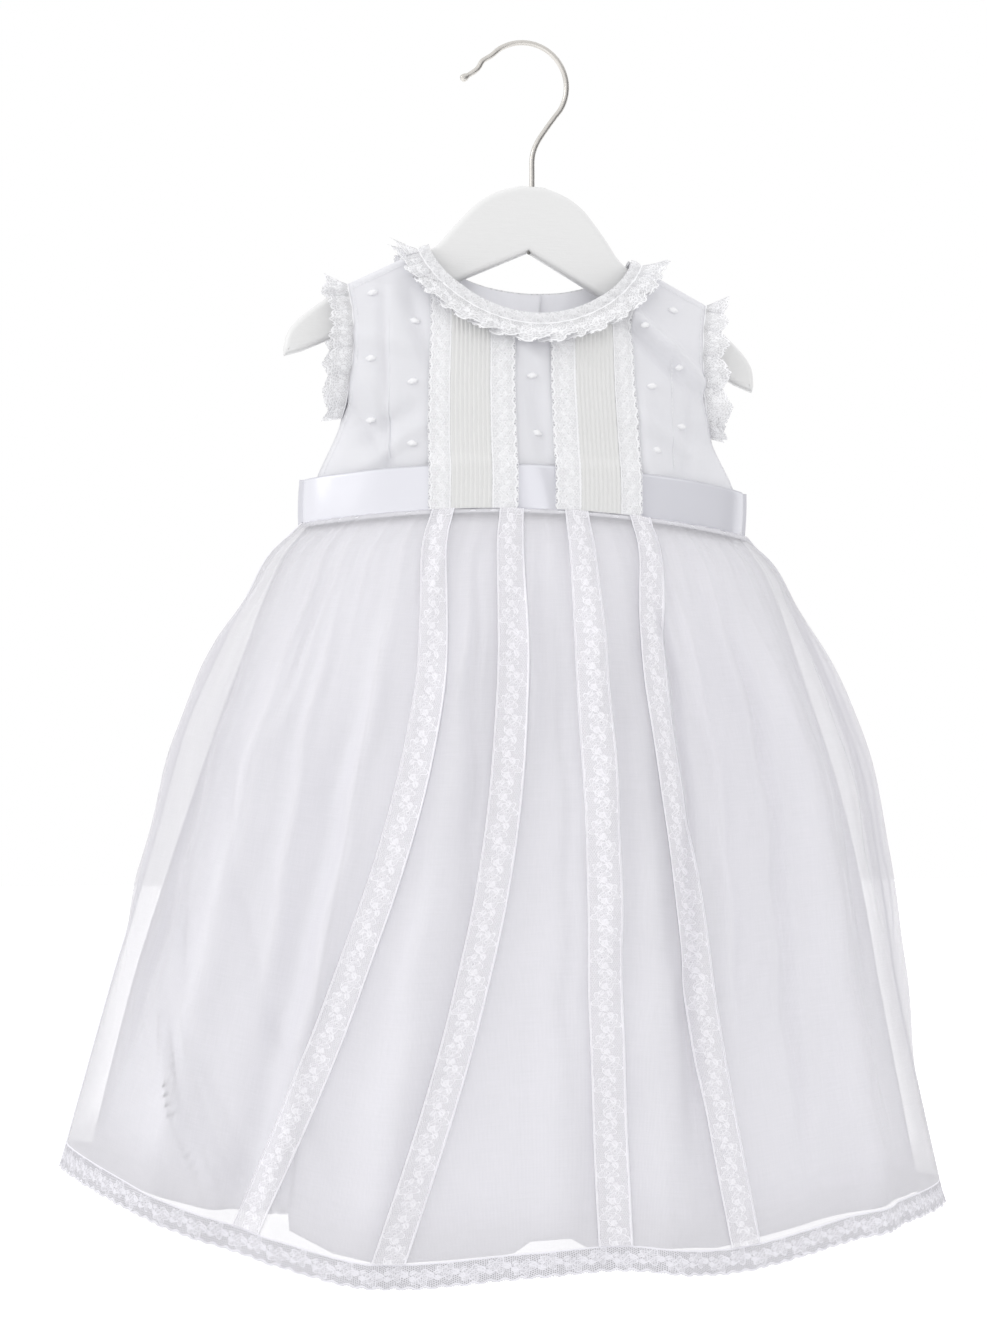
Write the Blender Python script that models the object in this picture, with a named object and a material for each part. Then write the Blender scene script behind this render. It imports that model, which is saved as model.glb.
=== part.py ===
"""A baby's sleeveless organza occasion dress on a small wooden hanger with a wire hook.

Metres, +Z up. The dress front faces -Y. The origin is the inside top of the hook,
where a rail would carry it.
"""

import math
from collections import namedtuple

import bmesh
import bpy
from mathutils import Matrix, Vector

# How the two frames hang from the hook
HANGER_TOP = Vector((0.0076, 0.0, -0.085))
HANGER_ROLL = math.radians(3.8)
NECK_CENTRE = Vector((0.0058, 0.0, -0.126))
DRESS_ROLL = math.radians(1.5)

# Cloth, lace and the room left between pieces
COTTON_WALL = 0.0011
LACE_WALL = 0.001
SEAM_HALF = 0.00025
LAYER_GAP = 0.0005

# Bodice
NECK_HALF = 0.0614
SHOULDER_HALF = 0.1083
SHOULDER_DROP = 0.024
SHOULDER_TILT = 0.00205
FRONT_NECK_DROP = 0.0383
BACK_NECK_DROP = 0.022
NECK_CURVE = 0.72
ARMHOLE_DEPTH = 0.0845
WAIST_DROP = 0.156
WAIST_SIDE_DROP = 0.011
WAIST_HALF = 0.135
WAIST_ROOM = 0.0013
SASH_HALF = 0.1365
SASH_WIDTH = 0.026
SASH_LIFT = 0.002

# Strips on the front, measured out from the centre
PANEL_EDGE = 0.0105
TUCKS_INNER = 0.025
TUCKS_OUTER = 0.048
TUCK_COUNT = 9
TUCK_HEIGHT = 0.0008

# Rows of a bodice panel: share of the way up, then metres added
PANEL_ROWS = (
    (0.0, WAIST_ROOM),
    (0.0, 0.0140),
    (0.0, 0.0280),
    (0.0, 0.0335),
    (0.40, 0.0),
    (0.55, 0.0),
    (0.70, 0.0),
    (0.84, 0.0),
    (1.0, -0.0060),
    (1.0, -0.0024),
    (1.0, -0.0004),
    (1.0, 0.0),
)
TUCK_ROWS = PANEL_ROWS[:1] + PANEL_ROWS[2:9] + PANEL_ROWS[-1:]
# Columns between the tucks and the neck point, closer where the neckline turns in
NECK_COLUMNS = (TUCKS_OUTER, 0.0535, 0.0580, 0.0603, NECK_HALF)
# Strips widen by this share from the neck to the waist
STRIP_SPREAD = 0.05
# Rise above the waist where the strips come off the sash, start and end
STRIP_STEP = (0.0275, 0.0340)

# Back closing
LAP_HALF = 0.010
LAP_LIFT = 0.0019
BUTTON_RADIUS = 0.0045
BUTTON_THICK = 0.0024
BUTTON_DROPS = (0.034, 0.072, 0.112)

# Neck binding and ruffles; a ruffle's rows are its reach and the height of its waves
NECK_BAND_WIDTH = 0.0055
NECK_BAND_COLUMNS = 20
NECK_LEAN = math.radians(63)
POINTS_PER_WAVE = 4
NECK_RUFFLE_WAVES = 11
NECK_RUFFLE_ROWS = ((0.0066, 0.0006), (0.0105, 0.0030), (0.0200, 0.0060))
ARM_RUFFLE_WAVES = 16
LEFT_ARM_RUFFLE_ROWS = ((0.0014, 0.0002), (0.0070, 0.0017), (0.0150, 0.0030))
RIGHT_ARM_RUFFLE_ROWS = ((0.0014, 0.0002), (0.0060, 0.0017), (0.0125, 0.0030))
# Share of the armhole's depth that its ruffle runs down
ARM_RUFFLE_REACH = 0.95

# Sash and the cord under it
SASH_COLUMNS = 24
SASH_BACK_LIFT = 0.0027
PIPING_RADIUS = 0.0008
PIPING_COLUMNS = 56
PIPING_HALF_DEPTH = 0.0434

# Skirt
ORGANZA_WALL = 0.001
LINING_WALL = 0.001
HEM_LACE_WIDTH = 0.0128
HEM_SCALLOP = 0.0013
LINING_COLUMNS = 24
BACK_COLUMNS = 40
# Levels of the cloth from the waist to the hem
SKIRT_FALLS = (0.0, 0.022, 0.06, 0.12, 0.22, 0.38, 0.56, 0.78, 1.0)
LINING_FALLS = (0.0, 0.06, 0.18, 0.36, 0.6, 0.8, 1.0)
# A column's turn at the waist, the two levels between and the hem, and its hand
LEFT_SEAM = (0.0, 0.0, 0.0, 0.0, 0.0)
RIGHT_SEAM = (1.0, 1.0, 1.0, 1.0, 0.0)

# Hanger
HANGER_THICK = 0.010
HANGER_ROUND = 0.0034
WIRE_RADIUS = 0.0016
BORE_DEPTH = 0.008
BORE_ROOM = 0.0004

Height = namedtuple("Height", "drop value")
Ring = namedtuple("Ring", "drop half_width half_depth")
Across = namedtuple("Across", "across value")
Insertion = namedtuple("Insertion", "name waist upper lower hem")
Fold = namedtuple("Fold", "turn spread depth start finish lean")

# Half width of the bodice at each drop below the neck
BODICE_WIDTHS = (
    Height(0.024, 0.1083),
    Height(0.040, 0.1055),
    Height(0.058, 0.1047),
    Height(0.082, 0.1065),
    Height(0.109, 0.1112),
    Height(0.136, 0.1225),
    Height(0.155, 0.1310),
    Height(0.172, 0.1350),
)
# Half depth of the bodice on its centre line
BODICE_DEPTHS = (
    Height(0.000, 0.0100),
    Height(0.038, 0.0215),
    Height(0.060, 0.0280),
    Height(0.100, 0.0360),
    Height(0.155, 0.0430),
    Height(0.172, 0.0436),
)
# How far the middle of the dress hangs to the right of its straight axis
HANG_SHIFT = (
    Height(0.080, 0.0000),
    Height(0.109, 0.0012),
    Height(0.135, 0.0024),
    Height(0.170, 0.0026),
    Height(0.260, 0.0045),
    Height(0.320, 0.0056),
    Height(0.380, 0.0044),
    Height(0.440, 0.0022),
    Height(0.580, 0.0030),
)
# How far the cloth falls away from the shoulder seam, over the hanger
SHOULDER_FALL = (
    Height(0.0000, SEAM_HALF),
    Height(0.0004, 0.0030),
    Height(0.0024, 0.0058),
    Height(0.0060, 0.0074),
    Height(0.0140, 0.0120),
    Height(0.0250, 0.0180),
    Height(0.0450, 0.0280),
    Height(0.0900, 0.0450),
    Height(0.1800, 0.0700),
)
# How far the armhole edge stands off the side plane, below the shoulder tip
ARMHOLE_GAPE = (
    Height(0.0000, SEAM_HALF),
    Height(0.0004, 0.0030),
    Height(0.0024, 0.0058),
    Height(0.0060, 0.0074),
    Height(0.0250, 0.0140),
    Height(0.0500, 0.0150),
    Height(0.0720, 0.0080),
    Height(ARMHOLE_DEPTH, SEAM_HALF),
    Height(0.1600, SEAM_HALF),
)
# Rings of the outer skirt and of its lining, by drop at the side seam
ORGANZA_RINGS = (
    Ring(0.168, 0.1355, 0.0435),
    Ring(0.176, 0.1465, 0.0480),
    Ring(0.188, 0.1558, 0.0515),
    Ring(0.207, 0.1650, 0.0555),
    Ring(0.243, 0.1827, 0.0610),
    Ring(0.297, 0.2046, 0.0670),
    Ring(0.360, 0.2196, 0.0730),
    Ring(0.425, 0.2337, 0.0790),
    Ring(0.490, 0.2492, 0.0850),
    Ring(0.548, 0.2636, 0.0900),
)
LINING_RINGS = (
    Ring(0.168, 0.1330, 0.0412),
    Ring(0.188, 0.1470, 0.0475),
    Ring(0.243, 0.1690, 0.0550),
    Ring(0.307, 0.1920, 0.0610),
    Ring(0.360, 0.2080, 0.0660),
    Ring(0.425, 0.2250, 0.0710),
    Ring(0.536, 0.2510, 0.0790),
)
# Drop of the lace edge across the front and the back, from the left side to the right
FRONT_HEM = (
    Across(-1.00, 0.5470),
    Across(-0.78, 0.5720),
    Across(-0.55, 0.5900),
    Across(-0.33, 0.6020),
    Across(0.00, 0.5945),
    Across(0.20, 0.5905),
    Across(0.45, 0.5935),
    Across(0.75, 0.5770),
    Across(1.00, 0.5640),
)
BACK_HEM = (
    Across(-1.00, 0.5470),
    Across(-0.60, 0.5850),
    Across(-0.15, 0.5930),
    Across(0.25, 0.5970),
    Across(0.65, 0.5870),
    Across(1.00, 0.5640),
)
# Rise of the lining's hem above the lace edge
FRONT_LINING_RISE = (
    Across(-1.00, 0.0200),
    Across(-0.62, 0.0340),
    Across(-0.50, 0.0330),
    Across(-0.40, 0.0200),
    Across(0.00, 0.0180),
    Across(1.00, 0.0170),
)
BACK_LINING_RISE = (Across(-1.0, 0.020), Across(1.0, 0.017))

# Lace insertions on the skirt, as a share of the way round the front
INSERTIONS = (
    Insertion("a", 0.367, 0.391, 0.352, 0.290),
    Insertion("b", 0.465, 0.473, 0.454, 0.402),
    Insertion("c", 0.556, 0.550, 0.556, 0.561),
    Insertion("d", 0.652, 0.617, 0.640, 0.662),
)
INSERTION_UPPER = 0.25
INSERTION_LOWER = 0.62
INSERTION_HALF_WAIST = 0.0160
INSERTION_HALF_HEM = 0.0120
INSERTION_COLUMNS = 2
COLUMNS_BETWEEN = (13, 4, 6, 4, 13)

# Long soft folds; depth is outward, start and finish are shares of the skirt's length
FRONT_FOLDS = (
    Fold(0.07, 0.022, 0.0060, 0.05, 0.80, 0.00),
    Fold(0.15, 0.026, -0.0040, 0.10, 0.90, -0.01),
    Fold(0.22, 0.024, 0.0060, 0.15, 1.10, -0.02),
    Fold(0.33, 0.022, -0.0045, 0.20, 1.20, -0.05),
    Fold(0.43, 0.020, 0.0050, 0.05, 1.10, -0.04),
    Fold(0.52, 0.024, -0.0040, 0.25, 1.20, -0.01),
    Fold(0.60, 0.020, 0.0055, 0.10, 1.20, 0.00),
    Fold(0.70, 0.024, -0.0040, 0.05, 0.90, 0.01),
    Fold(0.78, 0.022, 0.0060, 0.10, 1.20, 0.02),
    Fold(0.86, 0.020, -0.0040, 0.05, 0.80, 0.01),
    Fold(0.93, 0.020, 0.0050, 0.05, 0.90, 0.00),
)
BACK_FOLDS = (
    Fold(0.08, 0.022, 0.0050, 0.05, 0.90, 0.00),
    Fold(0.17, 0.024, -0.0040, 0.10, 1.10, -0.01),
    Fold(0.28, 0.026, 0.0060, 0.10, 1.20, -0.02),
    Fold(0.38, 0.022, -0.0045, 0.15, 1.00, -0.02),
    Fold(0.47, 0.024, 0.0055, 0.05, 1.20, 0.00),
    Fold(0.57, 0.022, -0.0045, 0.20, 1.20, 0.01),
    Fold(0.66, 0.024, 0.0060, 0.10, 1.10, 0.02),
    Fold(0.77, 0.024, -0.0040, 0.05, 1.00, 0.02),
    Fold(0.88, 0.022, 0.0055, 0.10, 1.20, 0.01),
)
GATHER_HEIGHTS = (
    Height(0.00, 0.0003),
    Height(0.03, 0.0012),
    Height(0.09, 0.0019),
    Height(0.20, 0.0015),
    Height(0.45, 0.0006),
    Height(1.00, 0.0004),
)

# Right half of the hanger, out from its middle and down from its top
HANGER_UPPER = (
    (0.0072, 0.0000),
    (0.0205, 0.0045),
    (0.0290, 0.0096),
    (0.0345, 0.0144),
    (0.0453, 0.0270),
    (0.0586, 0.0429),
    (0.0846, 0.0562),
    (0.1088, 0.0698),
    (0.1230, 0.0800),
    (0.1350, 0.0905),
    (0.1408, 0.0990),
    (0.1426, 0.1090),
)
HANGER_LOWER = (
    (0.1420, 0.1131),
    (0.1315, 0.1094),
    (0.1227, 0.1050),
    (0.0800, 0.0820),
    (0.0375, 0.0590),
)
HANGER_NOTCH_DROP = 0.0400

# Wire of the hook: a round crown, then hand-placed ends
CROWN_CENTRE = (0.0021, -0.0248)
CROWN_RADIUS = 0.0264
CROWN_START = math.radians(-44)
CROWN_END = math.radians(137)
CROWN_STEPS = 12
HOOK_SHANK = (
    (0.0076, -0.0925),
    (0.0076, -0.0780),
    (0.0079, -0.0664),
    (0.0106, -0.0586),
    (0.0160, -0.0502),
)
HOOK_TIP = (
    (-0.0223, -0.0100, 1.0),
    (-0.0249, -0.0142, 1.0),
    (-0.0276, -0.0166, 1.0),
    (-0.0312, -0.0189, 1.0),
    (-0.0322, -0.0195, 1.35),
    (-0.0341, -0.0207, 1.45),
    (-0.0354, -0.0216, 1.10),
)

FRONT, BACK = -1, 1


def clear_scene():
    for thing in list(bpy.data.objects):
        bpy.data.objects.remove(thing, do_unlink=True)


def make_collection(name):
    group = bpy.data.collections.new(name)
    bpy.context.scene.collection.children.link(group)
    return group


def make_material(name, colour, roughness, metallic=0.0):
    material = bpy.data.materials.new(name)
    material.use_nodes = True
    shader = material.node_tree.nodes["Principled BSDF"]
    shader.inputs["Base Color"].default_value = (*colour, 1.0)
    shader.inputs["Roughness"].default_value = roughness
    shader.inputs["Metallic"].default_value = metallic
    material.diffuse_color = (*colour, 1.0)
    return material


def make_frame(name, location, roll, group):
    """An empty that carries pieces drawn in their own upright frame."""
    frame = bpy.data.objects.new(name, None)
    frame.location = location
    frame.rotation_euler = (0.0, roll, 0.0)
    group.objects.link(frame)
    return frame


def place(name, data, material, frame, group):
    thing = bpy.data.objects.new(name, data)
    data.materials.append(material)
    thing.parent = frame
    group.objects.link(thing)
    return thing


def smooth_table(rows, at, column=1):
    """Read one column of a table at any place, on a smooth curve through its rows."""
    if at <= rows[0][0]:
        return rows[0][column]
    if at >= rows[-1][0]:
        return rows[-1][column]
    low = max(i for i, row in enumerate(rows) if row[0] <= at)
    span = rows[low + 1][0] - rows[low][0]
    share = (at - rows[low][0]) / span

    def slope(i):
        before, after = max(i - 1, 0), min(i + 1, len(rows) - 1)
        run = rows[after][0] - rows[before][0]
        return (rows[after][column] - rows[before][column]) / run * span

    start, end = rows[low][column], rows[low + 1][column]
    square, cube = share * share, share**3
    return (
        start * (2 * cube - 3 * square + 1)
        + slope(low) * (cube - 2 * square + share)
        + end * (3 * square - 2 * cube)
        + slope(low + 1) * (cube - square)
    )


def straight_table(rows, at):
    """Read a table on straight lines between its rows."""
    for low, high in zip(rows, rows[1:]):
        if at <= high[0]:
            share = max(0.0, (at - low[0]) / (high[0] - low[0]))
            return low[1] + (high[1] - low[1]) * share
    return rows[-1][1]


def ease(start, end, at):
    share = min(1.0, max(0.0, (at - start) / (end - start)))
    return share * share * (3 - 2 * share)


def mix(low, high, share):
    return low + (high - low) * share


def soft_least(one, other):
    """The smaller of two depths, with the corner between them rounded."""
    return (one**-5 + other**-5) ** -0.2


def tilt_at(x):
    """The neck and shoulders drop a little to the right, as the hanger does."""
    return -SHOULDER_TILT * min(1.0, max(-1.0, x / NECK_HALF))


def top_edge(x, neck_drop):
    """Height of the neckline, or of the shoulder seam beyond the neck."""
    reach = abs(x)
    if reach < NECK_HALF:
        curve = (1 - (reach / NECK_HALF) ** 2) ** NECK_CURVE
        return -neck_drop * curve + tilt_at(x)
    share = (reach - NECK_HALF) / (SHOULDER_HALF - NECK_HALF)
    return -SHOULDER_DROP * share + tilt_at(x)


def shoulder_line(x):
    """Height of the shoulder seam, carried level across the neck."""
    share = max(0.0, (abs(x) - NECK_HALF) / (SHOULDER_HALF - NECK_HALF))
    return -SHOULDER_DROP * share + tilt_at(x)


def hang_shift(z):
    return smooth_table(HANG_SHIFT, -z)


def waist_height(x):
    return -WAIST_DROP - WAIST_SIDE_DROP * (x / WAIST_HALF) ** 2


def lap_at(x):
    """Lift of the upper back edge where the two backs cross."""
    return LAP_LIFT * (1 - ease(0.012, 0.026, abs(x)))


def side_width(z):
    return smooth_table(BODICE_WIDTHS, -z)


def bodice_depth(x, z):
    """How far the bodice stands off the plane of its side seams."""
    half = side_width(z)
    across = min(1.0, abs(x) / half)
    tip = -SHOULDER_DROP + tilt_at(math.copysign(SHOULDER_HALF, x))
    edge = straight_table(ARMHOLE_GAPE, tip - z)
    core = edge + (smooth_table(BODICE_DEPTHS, -z) - edge) * math.sqrt(1 - across**2)
    fall = straight_table(SHOULDER_FALL, shoulder_line(x) - z)
    over_shoulder = ease(0.72, 1.0, abs(x) / NECK_HALF)
    return mix(core, soft_least(max(core, SEAM_HALF), fall), over_shoulder)


def sash_depth(x, z):
    """The sash leaves the bodice's sides and runs out to its own round ends."""
    across = min(1.0, abs(x) / SASH_HALF)
    depth = smooth_table(BODICE_DEPTHS, -z) + 2 * LAYER_GAP + LACE_WALL / 2
    return SEAM_HALF + (depth - SEAM_HALF) * math.sqrt(1 - across**2)


def off_surface(depth, x, z, side, out):
    """A point on a depth surface, moved out along its normal."""
    step = 0.0004
    inward = -math.copysign(step, x)
    here = depth(x, z)
    slope_x = (depth(x + inward, z) - here) / inward
    slope_z = (here - depth(x, z - step)) / step
    normal = Vector((-slope_x, side, -slope_z)).normalized()
    return Vector((x + hang_shift(z), side * here, z)) + normal * out


def bodice_point(x, z, side, out=0.0):
    return off_surface(bodice_depth, x, z, side, out)


def add_strip_faces(bm, grid, flip):
    for upper, lower in zip(grid, grid[1:]):
        for i in range(len(upper) - 1):
            a, b, c, d = upper[i], upper[i + 1], lower[i + 1], lower[i]
            for face in ((a, b, c), (a, c, d)):
                bm.faces.new(face[::-1] if flip else face)


def wall(name, outer, inner, material, frame, group, ring=False):
    """A thin closed wall between two sheets of points of the same layout."""
    bm = bmesh.new()
    sheets = []
    for sheet in (outer, inner):
        grid = [[bm.verts.new(point) for point in row] for row in sheet]
        if ring:
            grid = [row + [row[0]] for row in grid]
        sheets.append(grid)
    front, rear = sheets
    add_strip_faces(bm, front, False)
    add_strip_faces(bm, rear, True)
    add_strip_faces(bm, [rear[0], front[0]], False)
    add_strip_faces(bm, [front[-1], rear[-1]], False)
    if not ring:
        add_strip_faces(bm, [[r[0] for r in front], [r[0] for r in rear]], False)
        add_strip_faces(bm, [[r[-1] for r in rear], [r[-1] for r in front]], False)
    bmesh.ops.recalc_face_normals(bm, faces=bm.faces)
    if bm.calc_volume(signed=True) < 0:
        bmesh.ops.reverse_faces(bm, faces=bm.faces)
    mesh = bpy.data.meshes.new(name)
    bm.to_mesh(mesh)
    bm.free()
    mesh.shade_smooth()
    mesh.set_sharp_from_angle(angle=math.radians(50))
    return place(name, mesh, material, frame, group)


def cloth(name, point, rows, columns, thick, material, frame, group, ring=False):
    """A wall from a rule that gives the point at a row, a column and a distance out."""
    outer = [[point(r, c, thick / 2) for c in columns] for r in rows]
    inner = [[point(r, c, -thick / 2) for c in columns] for r in rows]
    return wall(name, outer, inner, material, frame, group, ring)


def column_x(top_x, z):
    """Where a bodice column lies at a height: strips widen a little to the waist."""
    spread = 1 + STRIP_SPREAD * ease(0.03, WAIST_DROP, -z)
    if abs(top_x) <= NECK_HALF:
        return top_x * spread
    share = (abs(top_x) - NECK_HALF) / (SHOULDER_HALF - NECK_HALF)
    return math.copysign(mix(NECK_HALF * spread, side_width(z), share), top_x)


def row_height(row, top_x, neck_drop):
    share, extra = row
    top = top_edge(top_x, neck_drop)
    foot = waist_height(column_x(top_x, -WAIST_DROP))
    return mix(foot, top, share) + extra


def spaced(start, end, count):
    return [mix(start, end, i / count) for i in range(count + 1)]


def joined(*runs):
    """Column lists end to end, each shared column once."""
    whole = list(runs[0])
    for run in runs[1:]:
        whole.extend(run[1:])
    return whole


def bodice_front(cotton, frame, group):
    half = joined(
        spaced(0.0, PANEL_EDGE, 1),
        spaced(PANEL_EDGE, TUCKS_INNER, 2),
        spaced(TUCKS_INNER, TUCKS_OUTER, 3),
        NECK_COLUMNS,
        spaced(NECK_HALF, SHOULDER_HALF, 5),
    )
    columns = [-x for x in reversed(half[1:])] + half

    def point(row, top_x, out):
        z = row_height(row, top_x, FRONT_NECK_DROP)
        return bodice_point(column_x(top_x, z), z, FRONT, out)

    cloth("bodice_front", point, PANEL_ROWS, columns, COTTON_WALL, cotton, frame, group)


def bodice_back(name, hand, lift, cotton, frame, group):
    """One back, from past the centre out to its side seam; hand is its side."""
    columns = joined(
        [-LAP_HALF, 0.0],
        spaced(0.0, LAP_HALF, 1),
        spaced(LAP_HALF, TUCKS_OUTER, 3),
        NECK_COLUMNS,
        spaced(NECK_HALF, SHOULDER_HALF, 4),
    )

    def point(row, column, out):
        top_x = column * hand
        z = row_height(row, top_x, BACK_NECK_DROP)
        x = column_x(top_x, z)
        return bodice_point(x, z, BACK, out + lift * lap_at(x))

    cloth(name, point, PANEL_ROWS, columns, COTTON_WALL, cotton, frame, group)


def strip_point(row, top_x, out):
    """A strip on the front lies on the bodice, and passes over the sash."""
    z = row_height(row, top_x, FRONT_NECK_DROP)
    x = column_x(top_x, z)
    rise = z - waist_height(x)
    layer = COTTON_WALL / 2 + LAYER_GAP + LACE_WALL / 2
    low = bodice_point(x, z, FRONT, layer + out)
    high = off_surface(sash_depth, x, z, FRONT, LACE_WALL + LAYER_GAP + out)
    return high.lerp(low, ease(*STRIP_STEP, rise))


def tuck_panel(name, hand, cotton, frame, group):
    """Narrow tucks raised on the outer face over a plain inner face."""
    inner_edge = TUCKS_INNER + SEAM_HALF
    outer_edge = TUCKS_OUTER - SEAM_HALF
    columns = [x * hand for x in spaced(inner_edge, outer_edge, 2 * TUCK_COUNT)]
    thick = LACE_WALL

    def raised(i, row):
        fade = 0.3 if row in TUCK_ROWS[-2:] else 1.0
        return thick / 2 + (TUCK_HEIGHT * fade if i % 2 else 0.0)

    outer = [
        [strip_point(row, x, raised(i, row)) for i, x in enumerate(columns)]
        for row in TUCK_ROWS
    ]
    inner = [[strip_point(row, x, -thick / 2) for x in columns] for row in TUCK_ROWS]
    wall(name, outer, inner, cotton, frame, group)


def bodice_strips(cotton, lace, frame, group):
    strips = (
        ("inner", spaced(PANEL_EDGE, TUCKS_INNER, 2)),
        ("outer", [TUCKS_OUTER + SEAM_HALF, *NECK_COLUMNS[1:-1]]),
    )
    for hand, word in ((-1, "left"), (1, "right")):
        tuck_panel(f"tuck_panel_{word}", hand, cotton, frame, group)
        for place_word, reach in strips:
            columns = [x * hand for x in reach]
            name = f"bodice_lace_{word}_{place_word}"
            cloth(name, strip_point, PANEL_ROWS, columns, LACE_WALL, lace, frame, group)


def neck_band(name, side, lace, frame, group):
    """A narrow lace binding that lies on the neckline's edge."""
    neck_drop = FRONT_NECK_DROP if side == FRONT else BACK_NECK_DROP
    columns = spaced(0.0, 1.0, NECK_BAND_COLUMNS)
    layer = COTTON_WALL / 2 + 2 * LAYER_GAP + LACE_WALL * 1.5 + TUCK_HEIGHT * 0.4

    def point(drop, share, out):
        x, z = neck_spot(share, neck_drop, drop)
        lift = lap_at(x) if side == BACK else 0.0
        return bodice_point(x, z, side, layer + lift + out)

    rows = (0.0, NECK_BAND_WIDTH)
    cloth(name, point, rows, columns, LACE_WALL, lace, frame, group)


def neck_spot(share, neck_drop, reach):
    """A place beside the neckline: share runs left to right, reach runs away from it."""
    angle = math.pi * share
    end_room = 1 - SEAM_HALF / NECK_HALF
    x = -NECK_HALF * math.cos(angle) * end_room
    z = top_edge(x, neck_drop)
    lean = NECK_LEAN * -math.cos(angle)
    away_x = x + reach * math.sin(lean)
    away_z = z - reach * math.cos(lean)
    return away_x, min(away_z, shoulder_line(away_x))


def neck_ruffle(name, side, lace, frame, group):
    """Lace gathered onto the band, standing off the bodice in small waves."""
    neck_drop = FRONT_NECK_DROP if side == FRONT else BACK_NECK_DROP
    count = NECK_RUFFLE_WAVES * POINTS_PER_WAVE
    start = COTTON_WALL / 2 + LAYER_GAP + LACE_WALL * 2 + TUCK_HEIGHT + LAYER_GAP

    def point(row, step, out):
        reach, swing = row
        share = step / count
        phase = 2 * math.pi * step / POINTS_PER_WAVE
        uneven = 1 + 0.3 * math.sin(1.7 * step)
        at_neck_point = ease(0.8, 1.0, abs(2 * share - 1))
        stand = start + swing * uneven * (1 + math.sin(phase) + at_neck_point) / 2
        x, z = neck_spot(share, neck_drop, reach * (1 + 0.05 * math.cos(phase)))
        lift = lap_at(x) if side == BACK else 0.0
        return bodice_point(x, z, side, stand + lift + out)

    steps = range(count + 1)
    cloth(name, point, NECK_RUFFLE_ROWS, steps, LACE_WALL, lace, frame, group)


def armhole_spot(share, hand):
    """Edge of an armhole, its way out and its way across, from front to back."""
    around = 2 * share - 1
    side = FRONT if around < 0 else BACK
    tip_x = hand * SHOULDER_HALF
    heights = [row_height(row, tip_x, FRONT_NECK_DROP) for row in reversed(PANEL_ROWS)]
    z = heights[0] - ARMHOLE_DEPTH * ARM_RUFFLE_REACH * abs(around) ** 1.6
    low = next(i for i, height in enumerate(heights) if height <= z)
    upper, lower = heights[max(low - 1, 0)], heights[low]
    drop = (upper - z) / (upper - lower) if low else 0.0
    ends = [bodice_point(hand * side_width(h), h, side) for h in (upper, lower)]
    edge = ends[0].lerp(ends[1], drop)
    over = ease(0.82, 1.0, 1 - abs(around))
    way_out = Vector((hand * 0.97, side * 0.2 * (1 - over), -0.12 + 0.24 * over))
    across = Vector((hand * 0.2 * (1 - over), side * (1 - over), 1.2 * over))
    return edge, way_out.normalized(), across.normalized()


def armhole_ruffle(name, hand, rows, lace, frame, group):
    """Gathered lace round an armhole, from the underarm over the shoulder tip."""
    count = ARM_RUFFLE_WAVES * POINTS_PER_WAVE

    def point(row, step, out):
        reach, swing = row
        share = step / count
        edge, way_out, across = armhole_spot(share, hand)
        taper = 0.7 + 0.3 * ease(0.0, 0.08, min(share, 1 - share))
        phase = 2 * math.pi * step / POINTS_PER_WAVE
        uneven = 1 + 0.35 * math.sin(2.3 * step)
        along = reach * taper * (1 + 0.1 * math.cos(phase))
        return edge + way_out * along + across * (swing * uneven * math.sin(phase) + out)

    cloth(name, point, rows, range(count + 1), LACE_WALL, lace, frame, group)


def sash(satin, frame, group):
    """A satin ribbon round the waist, behind the front strips."""
    shares = spaced(0.0, 1.0, SASH_COLUMNS)[1:-1]
    turns = [(FRONT, share) for share in shares]
    turns += [(BACK, share) for share in reversed(shares)]

    def point(rise, turn, out):
        side, share = turn
        x = -SASH_HALF * math.cos(math.pi * share)
        z = waist_height(x) + rise
        lift = SASH_BACK_LIFT if side == BACK else 0.0
        return off_surface(sash_depth, x, z, side, lift + out)

    rows = (SASH_LIFT + SASH_WIDTH, SASH_LIFT + SASH_WIDTH / 2, SASH_LIFT)
    cloth("sash", point, rows, turns, LACE_WALL, satin, frame, group, ring=True)


def waist_piping(cotton, frame, group):
    """A thin covered cord in the waist seam."""
    curve = bpy.data.curves.new("waist_piping", "CURVE")
    curve.dimensions = "3D"
    curve.bevel_depth = PIPING_RADIUS
    curve.bevel_resolution = 0
    spline = curve.splines.new("POLY")
    spline.points.add(PIPING_COLUMNS - 1)
    for i, knot in enumerate(spline.points):
        angle = 2 * math.pi * i / PIPING_COLUMNS
        x = -WAIST_HALF * math.cos(angle)
        y = -PIPING_HALF_DEPTH * math.sin(angle)
        z = waist_height(x)
        knot.co = (x + hang_shift(z), y, z, 1.0)
    spline.use_cyclic_u = True
    place("waist_piping", curve, cotton, frame, group)


def buttons(pearl, frame, group):
    """Three buttons on the upper back edge."""
    for number, drop in enumerate(BUTTON_DROPS, 1):
        out = LAP_LIFT + COTTON_WALL / 2 + LAYER_GAP
        seat = bodice_point(0.0001, -drop, BACK, out)
        normal = (bodice_point(0.0001, -drop, BACK, out + 0.01) - seat).normalized()
        bm = bmesh.new()
        turn = normal.to_track_quat("Z", "Y").to_matrix().to_4x4()
        middle = Matrix.Translation(seat + normal * BUTTON_THICK / 2)
        bmesh.ops.create_cone(
            bm,
            cap_ends=True,
            segments=20,
            radius1=BUTTON_RADIUS,
            radius2=BUTTON_RADIUS * 0.8,
            depth=BUTTON_THICK,
            matrix=middle @ turn,
        )
        mesh = bpy.data.meshes.new(f"button_{number}")
        bm.to_mesh(mesh)
        bm.free()
        place(f"button_{number}", mesh, pearl, frame, group)


def ring_size(rings, drop):
    return smooth_table(rings, drop, 1), smooth_table(rings, drop, 2)


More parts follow.
